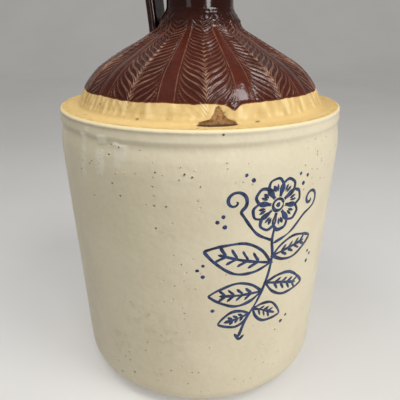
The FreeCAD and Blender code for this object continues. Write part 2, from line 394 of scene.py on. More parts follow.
def grid_faces(rows, columns, looped):
    """Four-sided faces between the rings of a grid."""
    row = np.arange(rows if looped else rows - 1)[:, None]
    column = np.arange(columns)[None, :]
    beyond = (column + 1) % columns
    below = (row + 1) % rows
    corners = ((row, column), (row, beyond), (below, beyond), (below, column))
    return np.stack([ring * columns + spot for ring, spot in corners], -1)


def capped_faces(rows, columns):
    """Faces between the rings of a grid, with its two ends closed."""
    faces = [tuple(face) for face in grid_faces(rows, columns, False).reshape(-1, 4)]
    faces.append(tuple(range(columns - 1, -1, -1)))
    faces.append(tuple(range((rows - 1) * columns, rows * columns)))
    return faces


def volume(vertices, faces):
    """Signed volume inside a closed mesh."""
    triangles = [
        (face[0], one, two) for face in faces for one, two in zip(face[1:], face[2:])
    ]
    first, second, third = (vertices[list(corner)] for corner in zip(*triangles))
    return float((first * np.cross(second, third)).sum()) / 6


def gathered(parts):
    """One mesh from several closed ones, each with its own crests."""
    vertices, faces, crests = [], [], []
    for points, part_faces, crest in parts:
        start = sum(len(block) for block in vertices)
        if volume(points, part_faces) < 0:
            part_faces = [face[::-1] for face in part_faces]
        faces += [tuple(start + v for v in face) for face in part_faces]
        vertices.append(points)
        crests.append(crest)
    return np.concatenate(vertices), faces, np.concatenate(crests)


def new_object(name, vertices, faces):
    """A smooth-shaded object in the scene."""
    mesh = bpy.data.meshes.new(name)
    mesh.from_pydata(vertices, [], faces)
    mesh.polygons.foreach_set("use_smooth", [True] * len(mesh.polygons))
    item = bpy.data.objects.new(name, mesh)
    bpy.context.scene.collection.objects.link(item)
    return item


def make_piece(name, vertices, faces, marks=None):
    """An object from a closed mesh, faces outward, with its marks stored on the vertices."""
    vertices = np.asarray(vertices, float).reshape(-1, 3)
    faces = [tuple(int(v) for v in face) for face in faces]
    if volume(vertices, faces) < 0:
        faces = [face[::-1] for face in faces]
    piece = new_object(name, vertices.tolist(), faces)
    for mark_name, values in (marks or {}).items():
        layer = piece.data.attributes.new(mark_name, "FLOAT", "POINT")
        layer.data.foreach_set("value", np.asarray(values, np.float32).ravel())
    if piece.data.validate():
        raise RuntimeError(f"{name} has faults in its mesh")
    piece.data.update()
    return piece


def ring_piece(name, points, marks):
    """A piece from rings of points, the last ring joined to the first."""
    faces = grid_faces(*points.shape[:2], True).reshape(-1, 4)
    return make_piece(name, points, faces, marks)


def settle(piece, material):
    """Give a piece its material and slot, and fix it to the jug."""
    piece.data.materials.append(material)
    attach(piece, "root")


# Material helpers. Grains and reliefs are in millimetres.


def place(tree, kind, inputs=None, **settings):
    """A new node; inputs are plain values or sockets to link from."""
    node = tree.nodes.new(kind)
    for name, value in settings.items():
        setattr(node, name, value)
    for name, value in (inputs or {}).items():
        fill_socket(tree, node.inputs[name], value)
    return node


def fill_socket(tree, socket, value):
    """Link a socket from another one, or set its plain value."""
    if isinstance(value, bpy.types.NodeSocket):
        tree.links.new(value, socket)
    else:
        socket.default_value = value


def calc(tree, operation, *values):
    """The result of a Math node."""
    return place(tree, "ShaderNodeMath", dict(enumerate(values)), operation=operation).outputs[0]


def times(tree, first, second):
    """The product of two values."""
    return calc(tree, "MULTIPLY", first, second)


def plus(tree, first, second):
    """The sum of two values."""
    return calc(tree, "ADD", first, second)


def ranged(tree, value, low, high, first=0.0, last=1.0):
    """A soft step of value from low to high, as first to last."""
    inputs = {"Value": value, "From Min": low, "From Max": high, "To Min": first, "To Max": last}
    node = place(tree, "ShaderNodeMapRange", inputs, interpolation_type="SMOOTHSTEP")
    return node.outputs["Result"]


def noise(tree, grain, detail=4.0, distortion=0.0):
    """Noise about one grain across, over the piece."""
    spot = place(tree, "ShaderNodeTexCoord").outputs["Object"]
    inputs = {
        "Vector": spot, "Scale": 1 / (grain * MM), "Detail": detail, "Distortion": distortion
    }
    return place(tree, "ShaderNodeTexNoise", inputs).outputs[0]


def patches(tree, grain, low=0.3, high=0.7, first=0.0, last=1.0, detail=4.0, distortion=0.0):
    """Soft patches about one grain across, from first to last."""
    return ranged(tree, noise(tree, grain, detail, distortion), low, high, first, last)


def jitter(tree, value, grain, amount):
    """A value with noise of that grain and amount round it."""
    centred = calc(tree, "SUBTRACT", noise(tree, grain), 0.5)
    return plus(tree, value, times(tree, centred, amount))


def mark(tree, name):
    """A value stored on the piece's vertices."""
    return place(tree, "ShaderNodeAttribute", attribute_name=name).outputs["Fac"]


def colour_of(value):
    """A socket or number as it is, or a colour with its alpha."""
    return value if isinstance(value, (bpy.types.NodeSocket, float)) else (*value, 1.0)


def mixed(tree, part, first, second):
    """first changing to second with part."""
    inputs = {0: part, 6: colour_of(first), 7: colour_of(second)}
    return place(tree, "ShaderNodeMix", inputs, data_type="RGBA").outputs[2]


def layered(tree, body, *layers):
    """body under layers, each given as its mask, strength and colour."""
    for mask, strength, colour in layers:
        part = mask if strength == 1.0 else times(tree, mask, strength)
        body = mixed(tree, part, body, colour)
    return body


def make_group(name, inputs, output, kind):
    """A node group with float or colour inputs; returns its tree, inputs and output socket."""
    tree = bpy.data.node_groups.new(name, "ShaderNodeTree")
    for title, default in inputs.items():
        sort = "NodeSocketFloat" if isinstance(default, float) else "NodeSocketColor"
        socket = tree.interface.new_socket(title, in_out="INPUT", socket_type=sort)
        socket.default_value = colour_of(default)
    tree.interface.new_socket(output, in_out="OUTPUT", socket_type=kind)
    entry = place(tree, "NodeGroupInput").outputs
    return tree, entry, place(tree, "NodeGroupOutput").inputs[output]


def grouped(tree, name, **inputs):
    """The output of a made group, placed in a material with its own values."""
    group = place(tree, "ShaderNodeGroup", node_tree=bpy.data.node_groups[name])
    for title, value in inputs.items():
        fill_socket(tree, group.inputs[title.capitalize()], colour_of(value))
    return group.outputs[0]


def make_mottle_group():
    """Slow and fine drifts between two colours, as a kiln leaves them."""
    pale = (0.8, 0.8, 0.8)
    dark = (0.6, 0.6, 0.6)
    tree, entry, leave = make_group(
        "Kiln Mottle", {"First": pale, "Second": dark, "Contrast": 1.0}, "Color", "NodeSocketColor"
    )
    slow = times(tree, patches(tree, 34, 0.35, 0.68, detail=3.0), 0.65)
    fine = times(tree, patches(tree, 2.4, 0.3, 0.75, detail=5.0), 0.35)
    part = times(tree, plus(tree, slow, fine), entry["Contrast"])
    tree.links.new(mixed(tree, part, entry["First"], entry["Second"]), leave)


def make_skin_group():
    """The gently rippled skin of a fired glaze."""
    tree, entry, leave = make_group(
        "Glaze Skin", {"Ripple": 1.0, "Grit": 0.0}, "Height", "NodeSocketFloat"
    )
    ripple = times(tree, noise(tree, 5.5, 2.0), entry["Ripple"])
    grit = times(tree, noise(tree, 0.55), entry["Grit"])
    tree.links.new(plus(tree, ripple, grit), leave)


def make_speck_group():
    """Scattered round specks; the mask is 1 inside a speck."""
    tree, entry, leave = make_group(
        "Specks", {"Spacing": 1.0, "Size": 0.12}, "Mask", "NodeSocketFloat"
    )
    spot = place(tree, "ShaderNodeTexCoord").outputs["Object"]
    scale = calc(tree, "DIVIDE", 250.0, entry["Spacing"])
    cells = place(tree, "ShaderNodeTexVoronoi", {"Vector": spot, "Scale": scale}).outputs
    chance = place(tree, "ShaderNodeSeparateColor", {"Color": cells["Color"]}).outputs[0]
    reach = times(tree, entry["Size"], ranged(tree, chance, 0.35, 1.0))
    inputs = {"Value": cells["Distance"], "From Min": reach, "From Max": times(tree, reach, 0.6)}
    tree.links.new(place(tree, "ShaderNodeMapRange", inputs).outputs["Result"], leave)


def mottled(tree, first, second, contrast):
    """Two colours in kiln mottle."""
    return grouped(tree, "Kiln Mottle", first=first, second=second, contrast=contrast)


def new_material(name, specular=0.5):
    """A material with an empty tree, its Principled BSDF and its output."""
    material = bpy.data.materials.new(name)
    material.use_nodes = True
    tree = material.node_tree
    tree.nodes.clear()
    surface = place(tree, "ShaderNodeBsdfPrincipled", {"Specular IOR Level": specular})
    place(tree, "ShaderNodeOutputMaterial", {"Surface": surface.outputs[0]})
    return material, tree, surface


def finish_material(tree, surface, colour, roughness, height, relief):
    """Link the varying colour, roughness and relief of a surface."""
    tree.links.new(colour, surface.inputs["Base Color"])
    tree.links.new(roughness, surface.inputs["Roughness"])
    bumps = place(tree, "ShaderNodeBump", {"Height": height, "Distance": relief * MM})
    tree.links.new(bumps.outputs[0], surface.inputs["Normal"])


# Materials


def white_glaze():
    """White glaze over stoneware, with runs, pits, stains and a wiped cream rim, and painted shade
    in the groove and under the rim's edge.
    """
    finish = bpy.context.scene.jug_finish
    material, tree, surface = new_material("white glaze", specular=0.28)
    stains = patches(tree, 6, 0.45, 0.75, detail=5.0, distortion=0.6)
    waver = times(tree, noise(tree, 4), 0.9)
    wiped = ranged(tree, plus(tree, mark(tree, "down"), waver), 1.9, 1.45)
    # Painted shade: the dark line under the rim's cream edge, uneven in strength.
    line = times(tree, mark(tree, "line"), patches(tree, 7, 0.3, 0.6, 0.55, 1.0))
    bare = mark(tree, "bare")
    pit = times(tree, mark(tree, "pit"), 0.95)
    body = layered(
        tree, mottled(tree, finish.white, finish.white_thin, 0.5),
        (mark(tree, "run"), 0.6, finish.white_thick),
        (times(tree, mark(tree, "stain"), stains), 0.2, finish.pit),
        # Painted shade: the groove under the band darkened towards the pit colour.
        (mark(tree, "groove"), 0.08, finish.pit),
        (grouped(tree, "Specks", spacing=1.7, size=0.075), 0.45, finish.pit),
        (wiped, 1.0, finish.cream),
        (line, 0.36, finish.pit),
        (bare, 1.0, mixed(tree, patches(tree, 3), finish.buff, finish.buff_shade)),
        (pit, 1.0, finish.pit),
    )
    dull = calc(tree, "MAXIMUM", bare, times(tree, pit, 0.7))
    dull = calc(tree, "MAXIMUM", dull, times(tree, wiped, 0.35))
    gloss = patches(tree, 12, first=0.33, last=0.42)
    skin = grouped(tree, "Glaze Skin", ripple=1.0, grit=0.05)
    finish_material(tree, surface, body, plus(tree, gloss, times(tree, dull, 0.45)), skin, 0.35)
    return material


def brown_colour(tree, break_and_highlight):
    """Brown glaze that pools dark, and turns light where break_and_highlight is high: partly glaze
    breaking thin, partly painted highlight.
    """
    finish = bpy.context.scene.jug_finish
    body = mottled(tree, finish.brown, finish.brown_pool, 0.75)
    return mixed(tree, break_and_highlight, body, finish.brown_break_and_highlight)


def brown_glaze():
    """Glossy brown glaze for neck and handle."""
    finish = bpy.context.scene.jug_finish
    material, tree, surface = new_material("brown glaze")
    # Lighter lip rim and strap edges; on the strap edges partly thin glaze, partly painted
    # highlight.
    thin = times(tree, mark(tree, "crest"), patches(tree, 3))
    body = brown_colour(tree, times(tree, thin, 0.35))
    # Mostly deep brown: thick glaze, partly painted shade.
    body = mixed(tree, 0.8, body, finish.brown_deep_and_shade)
    gloss = patches(tree, 9, first=0.09, last=0.15)
    skin = grouped(tree, "Glaze Skin", ripple=1.0, grit=0.02)
    finish_material(tree, surface, body, gloss, skin, 0.18)
    return material


def crown_glaze():
    """Brown glaze over the pressed leaves, bare clay below its edge, and the broken chip."""
    finish = bpy.context.scene.jug_finish
    material, tree, surface = new_material("crown glaze and bare clay", specular=0.4)
    # Ridges and border lines lightened: partly glaze breaking over them, partly painted highlight.
    crest = ranged(tree, mark(tree, "crest"), 0.25, 0.9)
    break_and_highlight = times(tree, crest, patches(tree, 4.5, 0.3, 0.68, 0.3, 1.0))
    edge = jitter(tree, mark(tree, "edge"), 1.5, 0.5)
    glazed = layered(
        tree, brown_colour(tree, times(tree, break_and_highlight, 0.85)),
        # Glaze pooled between the ridges, darkened partly as painted shade in the hollows.
        (mark(tree, "hollow"), 0.35, finish.brown_pool),
        (ranged(tree, edge, 1.1, 0.1), 0.7, finish.brown_edge),
        # The crown's top turns deep brown like the neck: thick glaze, partly painted shade.
        (mark(tree, "deep"), 0.8, finish.brown_deep_and_shade),
    )
    streak = mark(tree, "streak")
    clay = layered(
        tree, mottled(tree, finish.buff, finish.buff_shade, 0.55),
        # Painted light and shade: pale and dark streaks along the clay's small facets.
        (ranged(tree, streak, 0.0, 0.8), 0.8, finish.buff_lit),
        (ranged(tree, streak, 0.0, -0.8), 0.7, finish.buff_shade),
        (grouped(tree, "Specks", spacing=1.9, size=0.11), 0.6, finish.broken_dark),
    )
    broken = layered(
        tree, finish.broken,
        (patches(tree, 1.8, 0.42, 0.78, detail=5.0), 1.0, finish.broken_dark),
        # The chip's lower part darkened.
        (mark(tree, "dirt"), 1.0, finish.broken_dark),
    )
    cover = ranged(tree, edge, -0.08, 0.08)
    chip = ranged(tree, jitter(tree, mark(tree, "chip"), 1.2, 0.8), -0.05, 0.2)
    body = layered(
        tree, clay, (cover, 1.0, glazed), (chip, 1.0, broken),
        (mark(tree, "speck"), 1.0, finish.broken_dark),
    )
    shiny = times(tree, cover, calc(tree, "SUBTRACT", 1.0, chip))
    gloss = times(tree, patches(tree, 9, first=0.13, last=0.22), shiny)
    matt = times(
        tree, patches(tree, 4, first=0.55, last=0.7), calc(tree, "SUBTRACT", 1.0, shiny)
    )
    skin = grouped(tree, "Glaze Skin", ripple=0.8, grit=0.06)
    grains = times(tree, noise(tree, 0.8, 5.0), times(tree, chip, 0.8))
    finish_material(
        tree, surface, body, plus(tree, gloss, matt), plus(tree, skin, grains), 0.45
    )
    return material


def cobalt_line():
    """Cobalt blue under the glaze, deeper where the brush was full."""
    finish = bpy.context.scene.jug_finish
    material, tree, surface = new_material("cobalt line")
    full = patches(tree, 3.4, 0.36, 0.62, detail=3.0)
    full = calc(tree, "MAXIMUM", full, calc(tree, "SUBTRACT", 1.0, mark(tree, "crest")))
    body = layered(
        tree, finish.cobalt, (full, 1.0, finish.cobalt_deep),
        (patches(tree, 0.9, 0.66, 0.76), 0.35, finish.white),
    )
    gloss = patches(tree, 6, first=0.27, last=0.36)
    skin = grouped(tree, "Glaze Skin", ripple=1.0, grit=0.05)
    finish_material(tree, surface, body, gloss, skin, 0.35)
    return material


def speck_material():
    """Iron specks fired into the glaze."""
    finish = bpy.context.scene.jug_finish
    material, tree, surface = new_material("iron speck")
    body = mixed(tree, patches(tree, 0.7, 0.35, 0.65), finish.broken_dark, finish.iron)
    gloss = patches(tree, 1, first=0.3, last=0.5)
    skin = grouped(tree, "Glaze Skin", ripple=0.5, grit=0.3)
    finish_material(tree, surface, body, gloss, skin, 0.2)
    return material


# The wall. The tables below are in millimetres and degrees.

# Thick runs of glaze: turn, drop of the head below the ledge, width and length.
GLAZE_RUNS = (
    (-45, 7, 5, 24), (-36, 14, 7, 14), (-27, 9, 9, 9), (-28, 17, 5, 5), (-42, 3, 3, 3),
    (-35, 6, 7, 5), (-62, 12, 5, 11), (92, 4, 5, 21), (101, 10, 5, 9), (157, 4, 7, 25),
    (-129, 5, 7, 17), (-137, 12, 6, 21),
)

# Clusters of pits: turn and drop of the middle, spread in turn and in drop, how many, and the
# radius of the largest.
PIT_CLUSTERS = (
    (-40, 22, 9, 9, 14, 0.65), (-24, 18, 9, 9, 9, 0.65), (-9, 28, 10, 13, 20, 0.75),
    (13, 22, 5, 6, 14, 0.50), (46, 25, 12, 15, 44, 0.50), (-7, 78, 7, 12, 16, 0.50),
    (-20, 118, 17, 22, 22, 0.55), (-18, 153, 22, 14, 20, 0.60), (22, 140, 16, 22, 12, 0.45),
    (84, 40, 14, 24, 24, 0.50), (112, 110, 20, 30, 20, 0.50), (150, 32, 16, 18, 26, 0.50),
    (-168, 90, 22, 30, 22, 0.50), (-128, 30, 14, 16, 22, 0.50), (-95, 130, 18, 24, 18, 0.50),
    (0, 90, 180, 70, 60, 0.40),
)

# The largest single pits: turn, drop below the ledge and radius.
SINGLE_PITS = (
    (-30, 161, 1.0), (-38, 166, 0.7), (-28, 37, 0.8), (-15, 53, 0.7), (-11, 39, 0.7),
    (33, 128, 0.6), (64, 20, 0.7),
)

# Faint smudges: turn and drop of the middle, and reach in turn and drop.
SMUDGES = (
    (-24, 112, 10, 9), (-14, 128, 9, 10), (-34, 140, 9, 12), (30, 137, 6, 5), (-12, 55, 7, 4),
    (-16, 158, 10, 6), (120, 60, 14, 14), (-150, 120, 16, 16), (170, 150, 18, 10),
)

# From the band's foot down to the middle of the groove.
GROOVE_BELOW = 1.9 * MM

# Steps in row and column to the eight grid points round a pit, and to the four faces that it
# replaces. No part of a pit reaches farther than those eight points.
PIT_RING = ((-1, -1), (-1, 0), (-1, 1), (0, 1), (1, 1), (1, 0), (1, -1), (0, -1))
PIT_FACES = ((-1, -1), (-1, 0), (0, -1), (0, 0))
LARGEST_REACH = 0.85 * MM

# The mark that runs down from the rim's edge holds this value on the wall's inside.
INSIDE_FAR = 60.0


def rim_and_side(sizes):
    """The wall's outside outline, from the rim's inner foot over it and down to the base."""
    ledge, rim, swell = sizes.height, sizes.rim_radius, sizes.swell / MM
    band_foot = ledge - sizes.band_height
    base_radius = rim - sizes.taper
    groove = sizes.groove_depth / MM
    rounding, edge = sizes.base_rounding, sizes.edge_rounding
    rim_top = joined(
        beside(rim, ledge, (-7.2, -3.2), (-5.6, -1.0)),
        evened([*beside(rim, ledge, (-4.9, -0.1)), (rim - edge, ledge)], 0.6 * MM),
        arc((rim - edge, ledge - edge), edge, 90, 0, 9)[1:],
    )
    steps = (
        (-0.25, 4.3), (-0.1, 2.4), (0.05, 0.9), (-0.4 * groove, -0.3), (-groove, -1.7),
        (-0.8 * groove, -3.3), (0, -6.2), (0.6 * swell, -9.5), (swell - 0.05, -14), (swell, -18),
    )
    side = resampled([(rim, ledge - edge), *beside(rim, band_foot, *steps)], 0.6 * MM)
    widest = beside(rim, band_foot, steps[-1])
    lower = joined(
        evened([*widest, (base_radius, rounding)], 1.3 * MM),
        arc((base_radius - rounding, rounding), rounding, 0, -90, 16)[1:],
    )
    return joined(rim_top, side[1:], lower[1:])


def base_and_inside(sizes):
    """The outline across the base and up the inside, to under the ledge."""
    ledge, rim = sizes.height, sizes.rim_radius
    inner_base = rim - sizes.taper - sizes.thickness
    inner_top = rim + sizes.swell - sizes.thickness
    bend = 12 * MM
    return joined(
        beside(rim - sizes.taper - sizes.base_rounding, 0, (-8, 0)),
        beside(0, 0, (42, 0.35), (14, 0.35)),
        beside(0, sizes.floor, (14, 0), (42, 0)),
        arc((inner_base - bend, sizes.floor + bend), bend, -90, 0, 8),
        evened([(inner_base, 21 * MM), (inner_top, ledge - 30 * MM)], 14 * MM)[1:],
        beside(rim, ledge, (-8.5, -26), (-10.5, -16), (-11.5, -8)),
    )


def run_field(turns, drops, radius):
    """How far each spot lies in a thick run of glaze, from 0 to 1."""
    field = np.zeros(np.broadcast(turns, drops).shape)
    for order, (turn, head, width, reach) in enumerate(GLAZE_RUNS):
        across = around(wrapped(turns - turn), radius) / MM
        across = across + 0.5 * uneven(40 + order, 7.0, drops / MM)
        down = drops / MM - head + 0.6 * uneven(50 + order, 6.0, across)
        narrowed = width / 2 * (1 - 0.25 * np.clip(down / reach, 0, 1) ** 2)
        inside = np.minimum(narrowed - np.abs(across), np.minimum(down, reach - down))
        field = np.maximum(field, smooth(-0.35, 0.75, inside))
    return field


def smudge_field(turns, drops):
    """How strongly each spot is smudged."""
    field = np.zeros(np.broadcast(turns, drops).shape)
    for turn, drop, across, along in SMUDGES:
        spread = (wrapped(turns - turn) / across) ** 2 + ((drops / MM - drop) / along) ** 2
        field = np.maximum(field, np.exp(-spread))
    return field


def scattered_pits():
    """Turn, drop and radius of every pit."""
    draw = random.Random(11)
    pits = [(turn, drop * MM, radius * MM) for turn, drop, radius in SINGLE_PITS]
    for turn, drop, across, along, count, largest in PIT_CLUSTERS:
        for _ in range(count):
            pit_turn = turn + draw.uniform(-1, 1) * across
            pit_drop = drop + draw.uniform(-1, 1) * along
            pits.append((pit_turn, pit_drop * MM, largest * draw.uniform(0.5, 1.0) ** 1.3 * MM))
    return pits


def crater(middle, radius, depth, draw):
    """Three rings of points round a pit and its lowest point, each with how dark it is."""
    outward = np.array([middle[0] - AXIS.x, middle[1] - AXIS.y, 0.0])
    outward /= np.linalg.norm(outward)
    up = np.array([0.0, 0.0, 1.0])
    side = np.cross(up, outward)
    middle = middle + side * draw.uniform(-0.34, 0.34) * MM + up * draw.uniform(-0.3, 0.3) * MM
    tilt = math.radians(draw.choice((25, 40, 155)) + draw.uniform(-25, 25))
    longer, shorter = draw.uniform(0.95, 1.4), draw.uniform(0.5, 0.85)
    points, darks = [], []
    rings = ((1.35, -0.08 * MM, 0.0), (0.9, 0.1 * depth, 0.5), (0.5, depth, 1.0))
    for reach_share, sink, dark in rings:
        for step in range(len(PIT_RING)):
            heading = math.radians(135 - 45 * step)
            oval = math.hypot(
                math.cos(heading - tilt) / longer, math.sin(heading - tilt) / shorter
            )
            reach = min(radius * reach_share * draw.uniform(0.85, 1.15) / oval, LARGEST_REACH)
            points.append(
                middle + side * math.cos(heading) * reach + up * math.sin(heading) * reach
                - outward * sink
            )
            darks.append(dark)
    return [*points, middle - outward * depth * 1.1], [*darks, 1.0]


def sink_pits(points, marks, first_row, last_row, sizes):
    """Faces of the grid with each pit cut in, and the grid's points and marks with the pits'."""
    rows, columns = points.shape[:2]
    vertices = list(points.reshape(-1, 3))
    values = {name: list(np.asarray(field).ravel()) for name, field in marks.items()}
    keep = np.ones((rows, columns), bool)
    used = np.zeros((rows, columns), bool)
    drops = sizes.height - (points[:, 0, 2] - BASE)
    added = []
    draw = random.Random(5)
    for turn, drop, radius in scattered_pits():
        row = int(np.argmin(np.abs(drops[first_row:last_row] - drop))) + first_row
        column = round((turn % 360.0) / 360.0 * columns) % columns
        ring = [(row + down, (column + along) % columns) for down, along in PIT_RING]
        if row <= first_row or row >= last_row or any(used[spot] for spot in ring):
            continue
        for spot in [*ring, (row, column)]:
            used[spot] = True
        for down, along in PIT_FACES:
            keep[row + down, (column + along) % columns] = False
        depth = sizes.pit_depth * (0.5 + radius / (0.6 * MM))
        start, count = len(vertices), len(ring)
        sunk, darks = crater(points[row, column], radius, depth, draw)
        vertices.extend(sunk)
        for name, field in values.items():
            plain = [field[row * columns + column]] * len(sunk)
            field.extend(darks if name == "pit" else plain)
        rings = [[down * columns + along for down, along in ring]]
        rings += [range(start + count * level, start + count * (level + 1)) for level in range(3)]
        for outer, inner in zip(rings, rings[1:]):
            for step in range(count):
                beyond = (step + 1) % count
                added.append((outer[step], outer[beyond], inner[beyond], inner[step]))
        for step in range(count):
            added.append((inner[step], inner[(step + 1) % count], len(vertices) - 1))
    kept = grid_faces(rows, columns, True)[keep]
    return np.array(vertices), [tuple(face) for face in kept] + added, values


def wall_skin(turns, height, radius):
    """Runs of glaze, and how far the outside lies off its turned outline there."""
    sizes = bpy.context.scene.jug_wall
    drops = sizes.height - height
    runs = run_field(turns, drops, radius)
    fill = bump(drops, sizes.band_height + GROOVE_BELOW, 2.6 * MM) * 0.85 * sizes.groove_depth
    heading = np.radians(turns)
    ripple = 0.035 * uneven(3, 7.0, height / MM) + 0.05 * uneven(
        4, 60.0, 80 * np.cos(heading), 80 * np.sin(heading), height / MM
    )
    return runs, runs * (sizes.run_build + fill) + ripple * MM


def bare_clay(sizes, height, drops, radius, is_outer):
    """Where the wall is bare: under the base, and on the rim's inner foot."""
    low = smooth(1.2 * MM, 0.4 * MM, height)
    foot = smooth(-0.9 * MM, -1.6 * MM, radius - sizes.rim_radius) * (drops < 1 * MM)
    return is_outer * (low * smooth(80 * MM, 70 * MM, radius) + foot) + (~is_outer) * low


def past_rim(sizes, path, outer):
    """Millimetres down the outline from just inside the rim's edge."""
    edge_height = sizes.height - 0.7 * sizes.edge_rounding
    inside = outer[:, 0] < sizes.rim_radius - sizes.edge_rounding
    edge_row = int(np.argmin(np.abs(outer[:, 1] - edge_height) + inside))
    down = walked(path)
    return (down - down[edge_row]) / MM + 1.2


def make_wall():
    """The wall with its band, glaze runs, pits, base and inside, as one closed mesh.

    The cream edge of the rim is thinner on the right. Under it runs a dark line of painted shade,
    with a soft tail down the band, fainter on the right.
    """
    sizes = bpy.context.scene.jug_wall
    outer = rim_and_side(sizes)
    path = joined(outer, base_and_inside(sizes))
    turns = np.arange(WALL_COLUMNS) * 360.0 / WALL_COLUMNS
    radius = np.repeat(path[:, :1], WALL_COLUMNS, 1)
    height = np.repeat(path[:, 1:], WALL_COLUMNS, 1)
    drops = sizes.height - height
    is_outer = (np.arange(len(path)) < len(outer))[:, None]
    shown = is_outer & (drops > 2.0 * MM) & (drops < sizes.height - 22 * MM)
    runs, off = wall_skin(turns[None, :], height, radius)
    runs = np.where(shown, runs, 0.0)
    radius = np.minimum(radius + np.where(shown, off, 0.0), WIDEST - 0.03 * MM)
    down = past_rim(sizes, path, outer)
    thinner = 0.75 * bump(wrapped(turns), 58, 34)
    # Painted shade: a dark line just under the rim's cream edge with a faint tail down the band,
    # fainter towards the right.
    fainter = 0.35 + 0.65 * smooth(12, -14, wrapped(turns))
    dirt = bump(down, 1.95, 0.5) + 0.08 * smooth(4.5, 2.0, down) * smooth(1.5, 2.2, down)
    # Painted shade along the groove, except where thick runs fill it.
    groove = bump(drops, sizes.band_height + GROOVE_BELOW, GROOVE_BELOW)
    marks = {
        "run": runs,
        "stain": smudge_field(turns[None, :], drops) * shown,
        "groove": groove * (1 - runs) * is_outer,
        "down": np.where(is_outer, down[:, None] + thinner[None, :], INSIDE_FAR),
        "line": is_outer * fainter[None, :] * dirt[:, None],
        "bare": bare_clay(sizes, height, drops, radius, is_outer),
        "pit": np.zeros_like(radius),
    }
    points = turned(radius, turns[None, :], height)
    pitted = (outer[:, 1] < sizes.height - 3.5 * MM) & (outer[:, 1] > 6 * MM)
    rows = np.nonzero(pitted)[0]
    return make_piece("jug_wall", *sink_pits(points, marks, int(rows[0]), int(rows[-1]), sizes))


def wall_radius(height):
    """Radius of the wall's outside at that height."""
    outer = rim_and_side(bpy.context.scene.jug_wall)
    side = outer[np.argmax(outer[:, 1]):][::-1]
    return np.interp(height, side[:, 1], side[:, 0])


def laid(turns, height, lift):
    """Points that follow the wall's outside at that height over it."""
    radius = wall_radius(height)
    _, off = wall_skin(turns, height, radius)
    return turned(radius + off + lift, turns, height)


# The crown. Distances run from the rim over the ledge and crown, in millimetres.

# The chip's outline: distance, and turns of its two edges there.
CHIP_OUTLINE = (
    (8.8, 3.0, 9.0), (10.5, -1.5, 14.0), (12.8, -0.5, 13.5), (14.5, 4.0, 10.5), (21.4, 6.4, 7.6)
)

# Iron specks in the ledge: turn, distance and half width in turns.
LEDGE_SPECKS = ((22.0, 11.9, 0.8), (-24.6, 13.0, 0.5), (-52.0, 9.0, 0.4))

# A small hole at the chip's upper edge: turn and distance.
HOLE = (9.0, 17.3)
HOLE_DEPTH = 0.9

# Where the glaze's edge hangs lower: turn, depth and half width in turns. The first two make the
# drip over the chip's right end.
DRIP_TURN = 13.2
EDGE_DRIPS = ((DRIP_TURN, 2.6, 2.0), (DRIP_TURN, 1.0, 4.5), (-118, 1.2, 2.4), (152, 1.6, 3))

# Leaflets down one leaf, half the width of a plain band in turns, and the share of a leaf's half
# sector that its leaflets take up.
LEAFLETS = 17
BAND_HALF = 3.3
LEAF_HALF_SHARE = 12.3 / 16.36

# Where the outline starts, the leaves start, end and are gone, and the last leaflet at the neck
# springs, then the step between rows.
CROWN_START = 4.6
LEAVES_START = 12.5
LEAVES_END = 84.0
LEAVES_GONE = 88.0
NECK_LEAFLET = 86.0
ROW_STEP = 0.55


def crown_line(sizes, neck):
    """The crown's outline, in from the rim: radius and height above the ledge."""
    foot = sizes.foot_radius
    turn = np.array([foot - sizes.inset, sizes.height])
    throat = np.array([neck.radius + sizes.collar + sizes.throat, sizes.height + sizes.slope])
    collar = np.array([neck.radius + sizes.collar, throat[1] + sizes.collar_rise])
    slope = throat - turn
    return resampled(
        joined(
            beside(0, 0, (84.4, -0.5), (84, 0)),
            beside(foot, 0, (5, 0), (2.6, 0.1), (0.9, 1.0)),
            arc_along(turn, slope, (foot, 3 * MM), 9)[::-1],
            evened([turn, throat], 6 * MM)[1:],
            arc_along(throat, slope, collar, 5)[1:],
            beside(neck.radius, collar[1], (1.4, 3.1)),
            beside(neck.radius, 0, (0.5, 54), (0, 57)),
        ),
        0.1 * MM,
    )


def leaflet_place(order):
    """Distance, on the midrib, of a leaflet counted down from the neck."""
    below = NECK_LEAFLET - 2.4 * order - 0.08 * order**2
    return np.where(order > 0, below, NECK_LEAFLET - 2.7 * order)


def leaflet_rise(distance):
    """How far a leaflet's tip lies above its root, by the root's distance."""
    above = LEAVES_END - distance
    return 3.8 + 0.14 * above + 0.00125 * above**2


def leaflet_curve(out):
    """Share of the rise reached at each share of the way out from the midrib."""
    out = np.clip(out, 0, 1)
    return 1.7 * out - 2.4 * out**2 + 1.7 * out**3


def crown_rows():
    """Distance on the midrib, and rise at the leaf's edge, of each row."""
    ledge_end = 11.5
    rows = [(where, 0.0) for where in np.arange(CROWN_START, ledge_end - 0.1, ROW_STEP)]
    foot = float(leaflet_place(np.array(float(LEAFLETS))))
    for part in np.linspace(0, 1, 45)[:-1]:
        rows.append((ledge_end + (foot - ledge_end) * part, leaflet_rise(foot) * part**1.1))
    for leaflet in range(LEAFLETS, 0, -1):
        places = leaflet_place(np.array([leaflet - 1.0, leaflet]))
        count = max(6, min(8, round(float(places[0] - places[1]) / ROW_STEP)))
        for order in np.linspace(leaflet, leaflet - 1, count, endpoint=False):
            where = float(leaflet_place(np.array(order)))
            rows.append((where, leaflet_rise(where)))
    top = leaflet_rise(NECK_LEAFLET)
    for part in np.linspace(0, 1, 14):
        rows.append((NECK_LEAFLET + 6.4 * part, top * (1 - part) ** 1.5))
    return np.array(rows).T


def leaflet_orders(distance, out):
    """Which leaflet, counted down from the neck, runs through each spot of the crown."""
    orders = np.linspace(-4, 30, 700)
    middles = leaflet_place(orders)
    counts = np.empty(distance.shape)
    for column, curve in enumerate(leaflet_curve(out)):
        reached = middles + leaflet_rise(middles) * curve
        counts[:, column] = np.interp(distance[:, column], reached[::-1], orders[::-1])
    return counts


